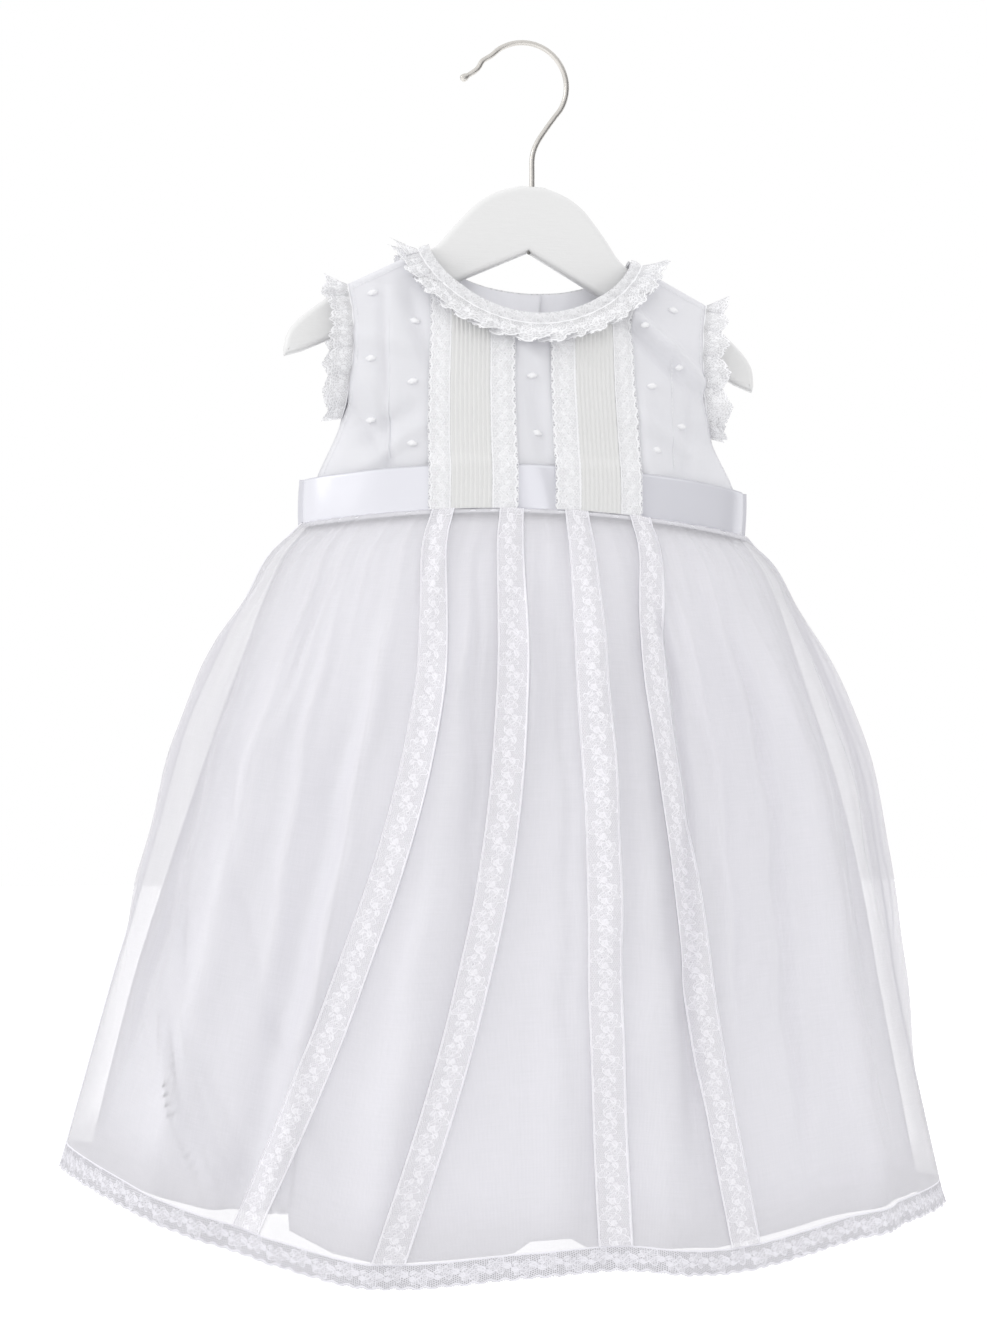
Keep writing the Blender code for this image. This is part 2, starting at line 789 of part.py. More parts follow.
def skirt_base(turn, fall, side, rings, hem):
    """A point on an unfolded skirt: turn goes across, fall from the waist to the hem."""
    angle = math.pi * turn
    side_foot = rings[-1].drop
    half_width, half_depth = ring_size(rings, mix(rings[0].drop, side_foot, fall))
    x = -half_width * math.cos(angle)
    y = side * (SEAM_HALF * 1.6 + half_depth * math.sin(angle))
    across = -math.cos(angle)
    waist = waist_height(across * WAIST_HALF) - WAIST_ROOM
    z = mix(waist, -hem(across), fall)
    return Vector((x + hang_shift(z), y, z))


def skirt_normal(turn, fall, side, rings, hem):
    step = 0.004
    near, far = max(turn - step, 0.0), min(turn + step, 1.0)
    up, down = max(fall - step, 0.0), min(fall + step, 1.0)
    across = skirt_base(far, fall, side, rings, hem)
    across -= skirt_base(near, fall, side, rings, hem)
    below = skirt_base(turn, down, side, rings, hem)
    below -= skirt_base(turn, up, side, rings, hem)
    normal = across.cross(below).normalized() * side
    # Kept square to the side seam, so that front and back walls end face to face
    flat = ease(0.0, 0.02, min(turn, 1 - turn))
    return Vector((normal.x, normal.y * flat, normal.z)).normalized()


def fold_height(folds, turn, fall):
    """Sum of the long soft folds at a place on the skirt."""
    total = 0.0
    for fold in folds:
        middle = fold.turn + fold.lean * fall
        across = (turn - middle) / fold.spread
        along = ease(fold.start, fold.start + 0.2, fall)
        along *= 1 - ease(fold.finish - 0.25, fold.finish, fall)
        total += fold.depth * math.exp(-across * across) * along
    return total * ease(0.0, 0.05, min(turn, 1 - turn))


def front_columns():
    """For each front column: how to find its turn at any fall, and its gather sign."""
    stops = [LEFT_SEAM]
    for strip in INSERTIONS:
        for hand in (-1, 1):
            stops.append((*strip[1:], hand))
    stops.append(RIGHT_SEAM)
    counts = []
    for between in COLUMNS_BETWEEN:
        counts += [between, INSERTION_COLUMNS]
    columns = []
    for low, high, count in zip(stops, stops[1:], counts):
        columns += [(low, high, i / count) for i in range(count)]
    columns.append((stops[-1], stops[-1], 0.0))
    return columns


def stop_turn(stop, fall):
    waist, upper, lower, hem, hand = stop
    rows = (
        (0.0, waist),
        (INSERTION_UPPER, upper),
        (INSERTION_LOWER, lower),
        (1.0, hem),
    )
    half = mix(INSERTION_HALF_WAIST, INSERTION_HALF_HEM, fall)
    return smooth_table(rows, fall) + hand * half


def column_turn(column, fall):
    low, high, share = column
    return mix(stop_turn(low, fall), stop_turn(high, fall), share)


def back_columns():
    return [(LEFT_SEAM, RIGHT_SEAM, i / BACK_COLUMNS) for i in range(BACK_COLUMNS + 1)]


def organza_hem(hem_rows):
    return lambda across: smooth_table(hem_rows, across) - HEM_LACE_WIDTH


def skirt_rule(side, columns, folds, hem_rows):
    """The folded organza's rule: row is its fall, column is an index."""
    hem = organza_hem(hem_rows)

    def point(fall, index, out):
        turn = column_turn(columns[index], fall)
        base = skirt_base(turn, fall, side, ORGANZA_RINGS, hem)
        normal = skirt_normal(turn, fall, side, ORGANZA_RINGS, hem)
        uneven = 0.7 + 0.3 * math.sin(2.1 * index)
        swing = 1 if index % 2 else -1
        gather = smooth_table(GATHER_HEIGHTS, fall) * swing * uneven
        gather *= ease(0.0, 0.03, min(turn, 1 - turn))
        return base + normal * (gather + fold_height(folds, turn, fall) + out)

    return point


def outer_skirt(organza, lace, frame, group):
    sides = (
        ("front", FRONT, front_columns(), FRONT_FOLDS, FRONT_HEM),
        ("back", BACK, back_columns(), BACK_FOLDS, BACK_HEM),
    )
    for word, side, columns, folds, hem_rows in sides:
        point = skirt_rule(side, columns, folds, hem_rows)
        count = range(len(columns))
        name = f"organza_{word}"
        cloth(name, point, SKIRT_FALLS, count, ORGANZA_WALL, organza, frame, group)
        hem_lace(f"hem_lace_{word}", point, count, lace, frame, group)
        if side == FRONT:
            skirt_insertions(point, lace, frame, group)


def hem_lace(name, organza_point, count, lace, frame, group):
    """Lace sewn below the organza's edge, with a scalloped foot."""

    def point(reach, index, out):
        edge = organza_point(1.0, index, out)
        above = organza_point(0.94, index, out)
        scallop = HEM_SCALLOP if index % 2 and reach == HEM_LACE_WIDTH else 0.0
        return edge + (edge - above).normalized() * (reach - scallop)

    rows = (0.0004, HEM_LACE_WIDTH)
    cloth(name, point, rows, count, LACE_WALL, lace, frame, group)


def skirt_insertions(organza_point, lace, frame, group):
    """Lace strips on the skirt, from the organza's own points moved out."""
    layer = ORGANZA_WALL / 2 + LAYER_GAP + LACE_WALL / 2

    def point(fall, index, out):
        return organza_point(fall, index, layer + out)

    first = 0
    for strip, between in zip(INSERTIONS, COLUMNS_BETWEEN):
        first += between
        count = range(first, first + INSERTION_COLUMNS + 1)
        name = f"skirt_lace_{strip.name}"
        cloth(name, point, SKIRT_FALLS, count, LACE_WALL, lace, frame, group)
        first += INSERTION_COLUMNS


def lining(cotton, frame, group):
    """The plain opaque under-skirt, narrower and shorter than the organza."""
    sides = (
        ("front", FRONT, FRONT_HEM, FRONT_LINING_RISE),
        ("back", BACK, BACK_HEM, BACK_LINING_RISE),
    )
    for word, side, hem_rows, rise_rows in sides:

        def hem(across, hem_rows=hem_rows, rise_rows=rise_rows):
            return smooth_table(hem_rows, across) - smooth_table(rise_rows, across)

        def point(fall, turn, out, side=side, hem=hem):
            base = skirt_base(turn, fall, side, LINING_RINGS, hem)
            normal = skirt_normal(turn, fall, side, LINING_RINGS, hem)
            sway = 0.0012 * math.sin(9 * math.pi * turn) * ease(0.2, 1.0, fall)
            return base + normal * (sway + out)

        columns = spaced(0.0, 1.0, LINING_COLUMNS)
        name = f"lining_{word}"
        cloth(name, point, LINING_FALLS, columns, LINING_WALL, cotton, frame, group)


def hanger_body(paint, frame, group, cutters):
    """Flat wooden shape with rounded edges and a bore for the hook."""
    curve = bpy.data.curves.new("hanger_outline", "CURVE")
    curve.dimensions = "2D"
    curve.fill_mode = "BOTH"
    curve.extrude = HANGER_THICK / 2 - HANGER_ROUND
    curve.bevel_depth = HANGER_ROUND
    curve.bevel_resolution = 2
    curve.offset = -HANGER_ROUND
    right = [*HANGER_UPPER, *HANGER_LOWER]
    notch = (0.0, HANGER_NOTCH_DROP)
    left = [(-x, drop) for x, drop in reversed(right)]
    outline = [*right, notch, *left]
    spline = curve.splines.new("POLY")
    spline.points.add(len(outline) - 1)
    for knot, (x, drop) in zip(spline.points, outline):
        knot.co = (x, -drop, 0.0, 1.0)
    spline.use_cyclic_u = True
    drawn = bpy.data.objects.new("hanger_outline", curve)
    group.objects.link(drawn)
    drawn.rotation_euler = (math.pi / 2, 0.0, 0.0)
    bpy.context.view_layer.update()
    flat = drawn.evaluated_get(bpy.context.evaluated_depsgraph_get())
    mesh = bpy.data.meshes.new_from_object(flat)
    mesh.transform(drawn.matrix_world)
    bpy.data.objects.remove(drawn, do_unlink=True)
    bm = bmesh.new()
    bm.from_mesh(mesh)
    bmesh.ops.remove_doubles(bm, verts=bm.verts, dist=0.00001)
    bmesh.ops.recalc_face_normals(bm, faces=bm.faces)
    bm.to_mesh(mesh)
    bm.free()
    body = place("hanger_body", mesh, paint, frame, group)

    bm = bmesh.new()
    bmesh.ops.create_cone(
        bm,
        cap_ends=True,
        segments=16,
        radius1=WIRE_RADIUS + BORE_ROOM,
        radius2=WIRE_RADIUS + BORE_ROOM,
        depth=2 * BORE_DEPTH,
    )
    bore_mesh = bpy.data.meshes.new("hook_bore")
    bm.to_mesh(bore_mesh)
    bm.free()
    bore = bpy.data.objects.new("hook_bore", bore_mesh)
    bore.display_type = "WIRE"
    bore.hide_render = True
    bore.parent = frame
    bore.rotation_euler = (0.0, -HANGER_ROLL, 0.0)
    cutters.objects.link(bore)
    cut = body.modifiers.new("hook_bore", "BOOLEAN")
    cut.operation = "DIFFERENCE"
    cut.object = bore


def hanger_hook(steel, group):
    """Bent wire: shank, round crown and a small ball at the tip."""
    turns = spaced(CROWN_START, CROWN_END, CROWN_STEPS)
    crown = [
        (
            CROWN_CENTRE[0] + CROWN_RADIUS * math.cos(turn),
            CROWN_CENTRE[1] + CROWN_RADIUS * math.sin(turn),
        )
        for turn in turns
    ]
    route = [(x, z, 1.0) for x, z in [*HOOK_SHANK, *crown]] + list(HOOK_TIP)
    curve = bpy.data.curves.new("hanger_hook", "CURVE")
    curve.dimensions = "3D"
    curve.bevel_depth = WIRE_RADIUS
    curve.bevel_resolution = 2
    curve.use_fill_caps = True
    spline = curve.splines.new("POLY")
    spline.points.add(len(route) - 1)
    for knot, (x, z, radius) in zip(spline.points, route):
        knot.co = (x, 0.0, z, 1.0)
        knot.radius = radius
    place("hanger_hook", curve, steel, None, group)


def main():
    clear_scene()
    group = make_collection("organza_dress_on_hanger")
    cutters = make_collection("cutters")
    dress = make_frame("dress_frame", NECK_CENTRE, DRESS_ROLL, group)
    hanger = make_frame("hanger_frame", HANGER_TOP, HANGER_ROLL, group)

    cotton = make_material("white_cotton", (0.80, 0.80, 0.83), 0.85)
    tucked = make_material("tucked_cotton", (0.77, 0.77, 0.76), 0.85)
    organza = make_material("organza", (0.82, 0.82, 0.86), 0.60)
    lace = make_material("lace", (0.74, 0.74, 0.78), 0.80)
    satin = make_material("satin", (0.84, 0.84, 0.88), 0.30)
    pearl = make_material("pearl_button", (0.85, 0.84, 0.82), 0.25)
    paint = make_material("white_paint", (0.80, 0.80, 0.80), 0.35)
    steel = make_material("brushed_nickel", (0.62, 0.60, 0.57), 0.30, 1.0)

    hanger_body(paint, hanger, group, cutters)
    hanger_hook(steel, group)
    bodice_front(cotton, dress, group)
    bodice_back("bodice_back_left", -1, 0.0, cotton, dress, group)
    bodice_back("bodice_back_right", 1, 1.0, cotton, dress, group)
    bodice_strips(tucked, lace, dress, group)
    sash(satin, dress, group)
    waist_piping(cotton, dress, group)
    for word, side in (("front", FRONT), ("back", BACK)):
        neck_band(f"neck_band_{word}", side, lace, dress, group)
        neck_ruffle(f"neck_ruffle_{word}", side, lace, dress, group)
    armhole_ruffle("armhole_ruffle_left", -1, LEFT_ARM_RUFFLE_ROWS, lace, dress, group)
    armhole_ruffle("armhole_ruffle_right", 1, RIGHT_ARM_RUFFLE_ROWS, lace, dress, group)
    buttons(pearl, dress, group)
    outer_skirt(organza, lace, dress, group)
    lining(cotton, dress, group)


main()
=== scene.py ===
"""The looks of a baby's organza occasion dress on its hanger, in the frame of its solids."""

import math
from collections import namedtuple

import bpy
import numpy as np
from bpy.props import FloatProperty, FloatVectorProperty, PointerProperty
from mathutils import Matrix, Vector


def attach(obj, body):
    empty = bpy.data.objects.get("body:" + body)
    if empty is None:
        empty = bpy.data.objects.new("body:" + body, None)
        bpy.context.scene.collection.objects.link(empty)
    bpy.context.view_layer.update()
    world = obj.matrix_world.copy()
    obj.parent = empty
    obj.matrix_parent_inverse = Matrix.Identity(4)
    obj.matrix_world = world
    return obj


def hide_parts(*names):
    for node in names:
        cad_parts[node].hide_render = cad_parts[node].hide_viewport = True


bl_info = {
    "name": "Organza dress on hanger",
    "version": (1, 0, 0),
    "blender": (4, 5, 0),
    "location": "View3D > Sidebar > Dress",
    "description": "Cloth, lace, satin, paint and wire for a hanging organza dress",
    "category": "Object",
}

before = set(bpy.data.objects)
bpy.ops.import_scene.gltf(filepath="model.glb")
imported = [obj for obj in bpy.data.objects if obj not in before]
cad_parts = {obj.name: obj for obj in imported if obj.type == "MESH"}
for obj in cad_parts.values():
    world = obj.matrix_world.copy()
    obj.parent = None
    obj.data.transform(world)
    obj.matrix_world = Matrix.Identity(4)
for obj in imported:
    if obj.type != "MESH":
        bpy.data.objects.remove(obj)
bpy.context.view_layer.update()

FRONT, BACK = -1, 1

# How the dress and the hanger hang from the hook
HANGER_TOP = Vector((0.0076, 0.0, -0.085))
HANGER_ROLL = math.radians(3.8)
NECK_CENTRE = Vector((0.0058, 0.0, -0.126))
DRESS_ROLL = math.radians(1.5)
DRESS_PLACE = Matrix.Translation(NECK_CENTRE) @ Matrix.Rotation(DRESS_ROLL, 4, "Y")
HANGER_PLACE = Matrix.Translation(HANGER_TOP) @ Matrix.Rotation(HANGER_ROLL, 4, "Y")

# Bodice, as in the solids
NECK_HALF = 0.0614
SHOULDER_HALF = 0.1083
SHOULDER_DROP = 0.024
SHOULDER_TILT = 0.00205
FRONT_NECK_DROP = 0.0383
BACK_NECK_DROP = 0.022
NECK_CURVE = 0.72
ARMHOLE_DEPTH = 0.0845
WAIST_DROP = 0.156
WAIST_SIDE_DROP = 0.011
WAIST_HALF = 0.135
WAIST_ROOM = 0.0013
SEAM_HALF = 0.00025
LAP_HALF = 0.010
LAP_LIFT = 0.0019
BUTTON_DROPS = (0.034, 0.072, 0.112)
# Half of a button's section: out from its middle and up from its seat
BUTTON_PROFILE = (
    (0.0000, 0.0010),
    (0.0012, 0.0010),
    (0.0022, 0.0013),
    (0.0031, 0.0019),
    (0.0038, 0.0022),
    (0.0043, 0.0019),
    (0.0045, 0.0012),
    (0.0042, 0.0003),
    (0.0030, 0.0000),
)
SASH_HALF = 0.1330
SASH_SHIFT = -0.0014
SASH_WIDTH = 0.0268
SASH_LIFT = 0.0006
PIPING_RADIUS = 0.0010
PIPING_HALF = 0.1343
PIPING_HALF_DEPTH = 0.0456
PANEL_EDGE = 0.0105
TUCKS_INNER = 0.025
TUCKS_OUTER = 0.048
STRIP_OUTER = 0.0603
TUCK_COUNT = 9
HEM_LACE_WIDTH = 0.0128
NECK_LEAN = math.radians(63)

# How far a piece stands off what lies below it
STRIP_LIFT = 0.00155
STRIP_SASH_LIFT = 0.0015
STRIP_LEAVES_SASH = (0.0275, 0.0340)
BINDING_LIFT = 0.0026
BACK_SASH_LIFT = 0.0027
INSERTION_LIFT = 0.0006
INSERTION_SEAM_LIFT = 0.0009
BUTTON_LIFT = 0.0007
KNOT_LIFT = 0.0008
SASH_ROOM = 0.0017
RUFFLE_STAND = 0.0088
RUFFLE_STAND_AT_SHOULDER = 0.0056
RUFFLE_REACH = 0.0138
ARMHOLE_SWING = 0.0054
HEM_FLARE = 0.0010

# Sewing
KNOT_WIDTH = 0.0036
KNOT_HEIGHT = 0.0034
STITCH_WIDTH = 0.0004
STITCH_HEIGHT = 0.0003
STITCH_PITCH_SHARE = 1.35
BUTTON_THREAD_LONG = 0.0030
BUTTON_THREAD_THICK = 0.0005
BUTTON_THREAD_RISE = 0.0012
BUTTON_THREAD_APART = 0.0006
INSERTION_SEAM_RADIUS = 0.0003
SIDE_SEAM_RADII = {"outer": 0.0007, "under": 0.0006}

# Flat sizes that the weave and the lace are drawn on
ORGANZA_WIDE = 0.62
ORGANZA_LONG = 0.43
LINING_WIDE = 0.58
LINING_LONG = 0.41
INSERTION_WIDE = 0.018
INSERTION_LONG = 0.43
HEM_EDGING_WIDTH = 0.0150
STRIP_LACE_WIDTH = 0.0145
RUFFLE_WIDTH = 0.0146
ARMHOLE_LACE_LONG = 0.40
BINDING_WIDTH = 0.0058
BINDING_FOLD = 0.0034
SASH_LONG = 0.60
SASH_THICK = 0.0003

Height = namedtuple("Height", "drop value")
Ring = namedtuple("Ring", "drop half_width half_depth")
Across = namedtuple("Across", "across value")
Insertion = namedtuple("Insertion", "name waist upper lower hem")
Fold = namedtuple("Fold", "turn spread depth start finish lean")
Crease = namedtuple("Crease", "x z end_x end_z spread depth")
Knot = namedtuple("Knot", "x z lean")
Lace = namedtuple("Lace", "width repeat flower_size sway free_edge ground thread shadow pitch")
Pleat = namedtuple("Pleat", "near_turn far_turn near_fall far_fall width depth")
NeckEdge = namedtuple("NeckEdge", "word side drop binding_long ruffle_long waves seed")
Armhole = namedtuple("Armhole", "word hand width waves seed")
Dart = namedtuple("Dart", "word top foot radius")

SKIRT_SIDES = (("front", FRONT), ("back", BACK))
NECK_EDGES = (
    NeckEdge("front", FRONT, FRONT_NECK_DROP, 0.19, 0.34, 17, 5),
    NeckEdge("back", BACK, BACK_NECK_DROP, 0.16, 0.27, 13, 7),
)
ARMHOLES = (
    Armhole("left", -1, 0.0148, 14, 3),
    Armhole("right", 1, 0.0136, 11, 9),
)
DARTS = (
    Dart("left", (-0.0847, -0.0400), (-0.0835, -0.1265), 0.0002),
    Dart("right", (0.0850, -0.0570), (0.0858, -0.1265), 0.0005),
)
# In each lace, shadow is the share of the thread colour that is painted into the holes as shade.
LACES = {
    "insertion_lace": Lace(0.0180, 0.0125, 0.0058, 0.0022, 0.0000, 0.72, 0.90, 1.000, 0.72),
    "strip_lace": Lace(0.0145, 0.0105, 0.0048, 0.0016, 0.0012, 0.92, 0.94, 0.985, 1.00),
    "binding_lace": Lace(0.0145, 0.0105, 0.0048, 0.0016, 0.0012, 0.90, 0.94, 0.900, 1.00),
    "hem_lace": Lace(0.0150, 0.0110, 0.0050, 0.0014, 0.0014, 0.95, 1.00, 0.530, 0.62),
    "ruffle_lace": Lace(0.0150, 0.0098, 0.0044, 0.0012, 0.0018, 0.75, 0.97, 0.920, 1.00),
}

BODICE_WIDTHS = (
    Height(0.024, 0.1083),
    Height(0.040, 0.1055),
    Height(0.058, 0.1047),
    Height(0.082, 0.1065),
    Height(0.109, 0.1130),
    Height(0.136, 0.1255),
    Height(0.155, 0.1308),
    Height(0.172, 0.1322),
)
BODICE_DEPTHS = (
    Height(0.000, 0.0100),
    Height(0.038, 0.0215),
    Height(0.060, 0.0280),
    Height(0.100, 0.0360),
    Height(0.155, 0.0430),
    Height(0.172, 0.0436),
)
HANG_SHIFT = (
    Height(0.080, 0.0000),
    Height(0.109, 0.0012),
    Height(0.135, 0.0024),
    Height(0.170, 0.0026),
    Height(0.260, 0.0045),
    Height(0.320, 0.0056),
    Height(0.380, 0.0044),
    Height(0.440, 0.0022),
    Height(0.580, 0.0030),
)
SHOULDER_FALL = (
    Height(0.0000, SEAM_HALF),
    Height(0.0004, 0.0030),
    Height(0.0024, 0.0058),
    Height(0.0060, 0.0074),
    Height(0.0140, 0.0120),
    Height(0.0250, 0.0180),
    Height(0.0450, 0.0280),
    Height(0.0900, 0.0450),
    Height(0.1800, 0.0700),
)
ARMHOLE_GAPE = (
    Height(0.0000, SEAM_HALF),
    Height(0.0004, 0.0030),
    Height(0.0024, 0.0058),
    Height(0.0060, 0.0074),
    Height(0.0250, 0.0140),
    Height(0.0500, 0.0150),
    Height(0.0720, 0.0080),
    Height(ARMHOLE_DEPTH, SEAM_HALF),
    Height(0.1600, SEAM_HALF),
)
ORGANZA_RINGS = (
    Ring(0.168, 0.1342, 0.0452),
    Ring(0.176, 0.1455, 0.0490),
    Ring(0.188, 0.1558, 0.0515),
    Ring(0.207, 0.1650, 0.0555),
    Ring(0.243, 0.1827, 0.0610),
    Ring(0.297, 0.2046, 0.0670),
    Ring(0.360, 0.2196, 0.0730),
    Ring(0.425, 0.2337, 0.0790),
    Ring(0.490, 0.2492, 0.0850),
    Ring(0.548, 0.2636, 0.0900),
)
LINING_RINGS = (
    Ring(0.168, 0.1320, 0.0412),
    Ring(0.188, 0.1470, 0.0475),
    Ring(0.243, 0.1690, 0.0550),
    Ring(0.307, 0.1920, 0.0610),
    Ring(0.360, 0.2080, 0.0660),
    Ring(0.425, 0.2250, 0.0710),
    Ring(0.536, 0.2510, 0.0790),
)
HEMS = {
    FRONT: (
        Across(-1.00, 0.5470),
        Across(-0.78, 0.5720),
        Across(-0.55, 0.5900),
        Across(-0.33, 0.6020),
        Across(0.00, 0.5945),
        Across(0.20, 0.5905),
        Across(0.45, 0.5935),
        Across(0.75, 0.5770),
        Across(1.00, 0.5640),
    ),
    BACK: (
        Across(-1.00, 0.5470),
        Across(-0.60, 0.5850),
        Across(-0.15, 0.5930),
        Across(0.25, 0.5970),
        Across(0.65, 0.5870),
        Across(1.00, 0.5640),
    ),
}
# The front lining's hem is caught up on one side of a fold, so it steps
LINING_HEMS = {
    FRONT: (
        Across(-1.000, 0.5464),
        Across(-0.900, 0.5540),
        Across(-0.800, 0.5605),
        Across(-0.740, 0.5640),
        Across(-0.700, 0.5650),
        Across(-0.610, 0.5645),
        Across(-0.545, 0.5622),
        Across(-0.540, 0.5741),
        Across(-0.440, 0.5862),
        Across(-0.330, 0.5912),
        Across(-0.180, 0.5886),
        Across(-0.030, 0.5846),
        Across(0.010, 0.5778),
        Across(0.100, 0.5755),
        Across(0.140, 0.5808),
        Across(0.200, 0.5797),
        Across(0.450, 0.5827),
        Across(0.750, 0.5665),
        Across(0.920, 0.5600),
        Across(1.000, 0.5572),
    ),
    BACK: (
        Across(-1.00, 0.5464),
        Across(-0.60, 0.5665),
        Across(-0.15, 0.5745),
        Across(0.25, 0.5790),
        Across(0.65, 0.5695),
        Across(1.00, 0.5572),
    ),
}
LINING_STEP = (-0.545, -0.540)
# Folded-back bands of the lining, each from a high place down to the hem
PLEATS = {
    FRONT: (Pleat(0.150, 0.228, 0.80, 0.955, 0.040, 0.0090),),
    BACK: (Pleat(0.640, 0.700, 0.62, 1.000, 0.030, 0.0040),),
}
INSERTIONS = (
    Insertion("a", 0.367, 0.391, 0.352, 0.290),
    Insertion("b", 0.465, 0.473, 0.454, 0.402),
    Insertion("c", 0.556, 0.550, 0.556, 0.561),
    Insertion("d", 0.652, 0.617, 0.640, 0.662),
)
INSERTION_UPPER = 0.25
INSERTION_LOWER = 0.62
INSERTION_HALF_WAIST = 0.0160
INSERTION_HALF_HEM = 0.0120

# Long soft folds of the outer skirt, as in the solids and then finer ones
SKIRT_FOLDS = {
    FRONT: (
        Fold(0.07, 0.022, 0.0060, 0.05, 0.80, 0.00),
        Fold(0.15, 0.026, -0.0040, 0.10, 0.90, -0.01),
        Fold(0.22, 0.024, 0.0060, 0.15, 1.10, -0.02),
        Fold(0.33, 0.022, -0.0045, 0.20, 1.20, -0.05),
        Fold(0.43, 0.020, 0.0050, 0.05, 1.10, -0.04),
        Fold(0.53, 0.020, 0.0014, 0.25, 1.20, -0.01),
        Fold(0.60, 0.020, 0.0055, 0.10, 1.20, 0.00),
        Fold(0.70, 0.024, -0.0040, 0.05, 0.90, 0.01),
        Fold(0.78, 0.022, 0.0060, 0.10, 1.20, 0.02),
        Fold(0.86, 0.020, -0.0040, 0.05, 0.80, 0.01),
        Fold(0.93, 0.020, 0.0050, 0.05, 0.90, 0.00),
        Fold(0.345, 0.012, 0.0034, 0.10, 1.10, -0.04),
        Fold(0.555, 0.040, 0.0045, 0.00, 0.95, 0.00),
        Fold(0.045, 0.007, 0.0022, 0.04, 0.70, 0.00),
        Fold(0.115, 0.008, -0.0018, 0.10, 0.95, 0.01),
        Fold(0.235, 0.006, -0.0018, 0.00, 0.40, -0.03),
        Fold(0.262, 0.009, 0.0018, 0.05, 0.85, 0.02),
        Fold(0.428, 0.006, -0.0024, 0.00, 0.60, 0.03),
        Fold(0.489, 0.008, 0.0030, 0.00, 0.45, 0.01),
        Fold(0.516, 0.005, -0.0010, 0.10, 0.90, 0.02),
        Fold(0.556, 0.010, 0.0024, 0.00, 0.75, 0.01),
        Fold(0.644, 0.007, -0.0034, 0.02, 0.95, -0.02),
        Fold(0.668, 0.009, 0.0028, 0.05, 0.80, 0.01),
        Fold(0.742, 0.008, -0.0030, 0.05, 1.00, -0.01),
        Fold(0.800, 0.008, 0.0024, 0.20, 1.00, 0.03),
        Fold(0.905, 0.006, -0.0020, 0.03, 0.70, 0.00),
        Fold(0.960, 0.005, 0.0018, 0.02, 0.75, 0.00),
    ),
    BACK: (
        Fold(0.08, 0.022, 0.0050, 0.05, 0.90, 0.00),
        Fold(0.17, 0.024, -0.0040, 0.10, 1.10, -0.01),
        Fold(0.28, 0.026, 0.0060, 0.10, 1.20, -0.02),
        Fold(0.38, 0.022, -0.0045, 0.15, 1.00, -0.02),
        Fold(0.47, 0.024, 0.0055, 0.05, 1.20, 0.00),
        Fold(0.57, 0.022, -0.0045, 0.20, 1.20, 0.01),
        Fold(0.66, 0.024, 0.0060, 0.10, 1.10, 0.02),
        Fold(0.77, 0.024, -0.0040, 0.05, 1.00, 0.02),
        Fold(0.88, 0.022, 0.0055, 0.10, 1.20, 0.01),
        Fold(0.055, 0.007, 0.0020, 0.04, 0.70, 0.00),
        Fold(0.130, 0.008, -0.0022, 0.05, 0.90, -0.01),
        Fold(0.225, 0.007, -0.0020, 0.00, 0.50, -0.02),
        Fold(0.330, 0.008, 0.0026, 0.05, 0.95, -0.02),
        Fold(0.430, 0.007, -0.0026, 0.02, 0.80, -0.01),
        Fold(0.520, 0.008, 0.0028, 0.00, 0.60, 0.01),
        Fold(0.610, 0.007, -0.0024, 0.05, 1.00, 0.02),
        Fold(0.720, 0.009, 0.0026, 0.05, 0.85, 0.02),
        Fold(0.830, 0.008, -0.0024, 0.10, 1.00, 0.02),
        Fold(0.945, 0.006, 0.0020, 0.03, 0.70, 0.00),
    ),
}
LINING_FOLDS = {
    FRONT: (
        Fold(-0.018, 0.010, -0.0090, 0.25, 1.00, 0.400),
        Fold(-0.193, 0.011, -0.0100, 0.38, 1.25, 0.495),
        Fold(0.485, 0.010, -0.0040, 0.55, 1.30, 0.020),
        Fold(0.515, 0.012, -0.0040, 0.10, 0.90, 0.020),
        Fold(0.560, 0.010, 0.0024, 0.10, 1.30, 0.000),
        Fold(0.11, 0.020, 0.0030, 0.20, 1.30, 0.02),
        Fold(0.27, 0.024, -0.0026, 0.30, 1.30, -0.02),
        Fold(0.44, 0.022, 0.0030, 0.10, 1.30, -0.02),
        Fold(0.63, 0.020, -0.0028, 0.20, 1.30, 0.00),
        Fold(0.75, 0.020, -0.0030, 0.20, 1.30, 0.00),
        Fold(0.82, 0.020, 0.0030, 0.30, 1.30, 0.02),
        Fold(0.93, 0.020, -0.0020, 0.20, 1.30, 0.00),
    ),
    BACK: (
        Fold(0.14, 0.024, -0.0028, 0.20, 1.30, 0.00),
        Fold(0.31, 0.022, 0.0030, 0.20, 1.30, -0.01),
        Fold(0.49, 0.024, -0.0028, 0.20, 1.30, 0.00),
        Fold(0.68, 0.022, 0.0030, 0.20, 1.30, 0.01),
        Fold(0.86, 0.022, -0.0028, 0.20, 1.30, 0.00),
    ),
}
FOLD_SCALE = 1.9
CREASE_SCALE = 3.5
GATHERS_PER_SIDE = 46
GATHER_SEEDS = {FRONT: 11, BACK: 23}
WAIST_RISE = 0.0022
WAIST_OUT = 0.0008
LINING_FOLLOWS = 0.85
LINING_OWN_FOLDS = 0.6
LINING_INSIDE = 0.0012

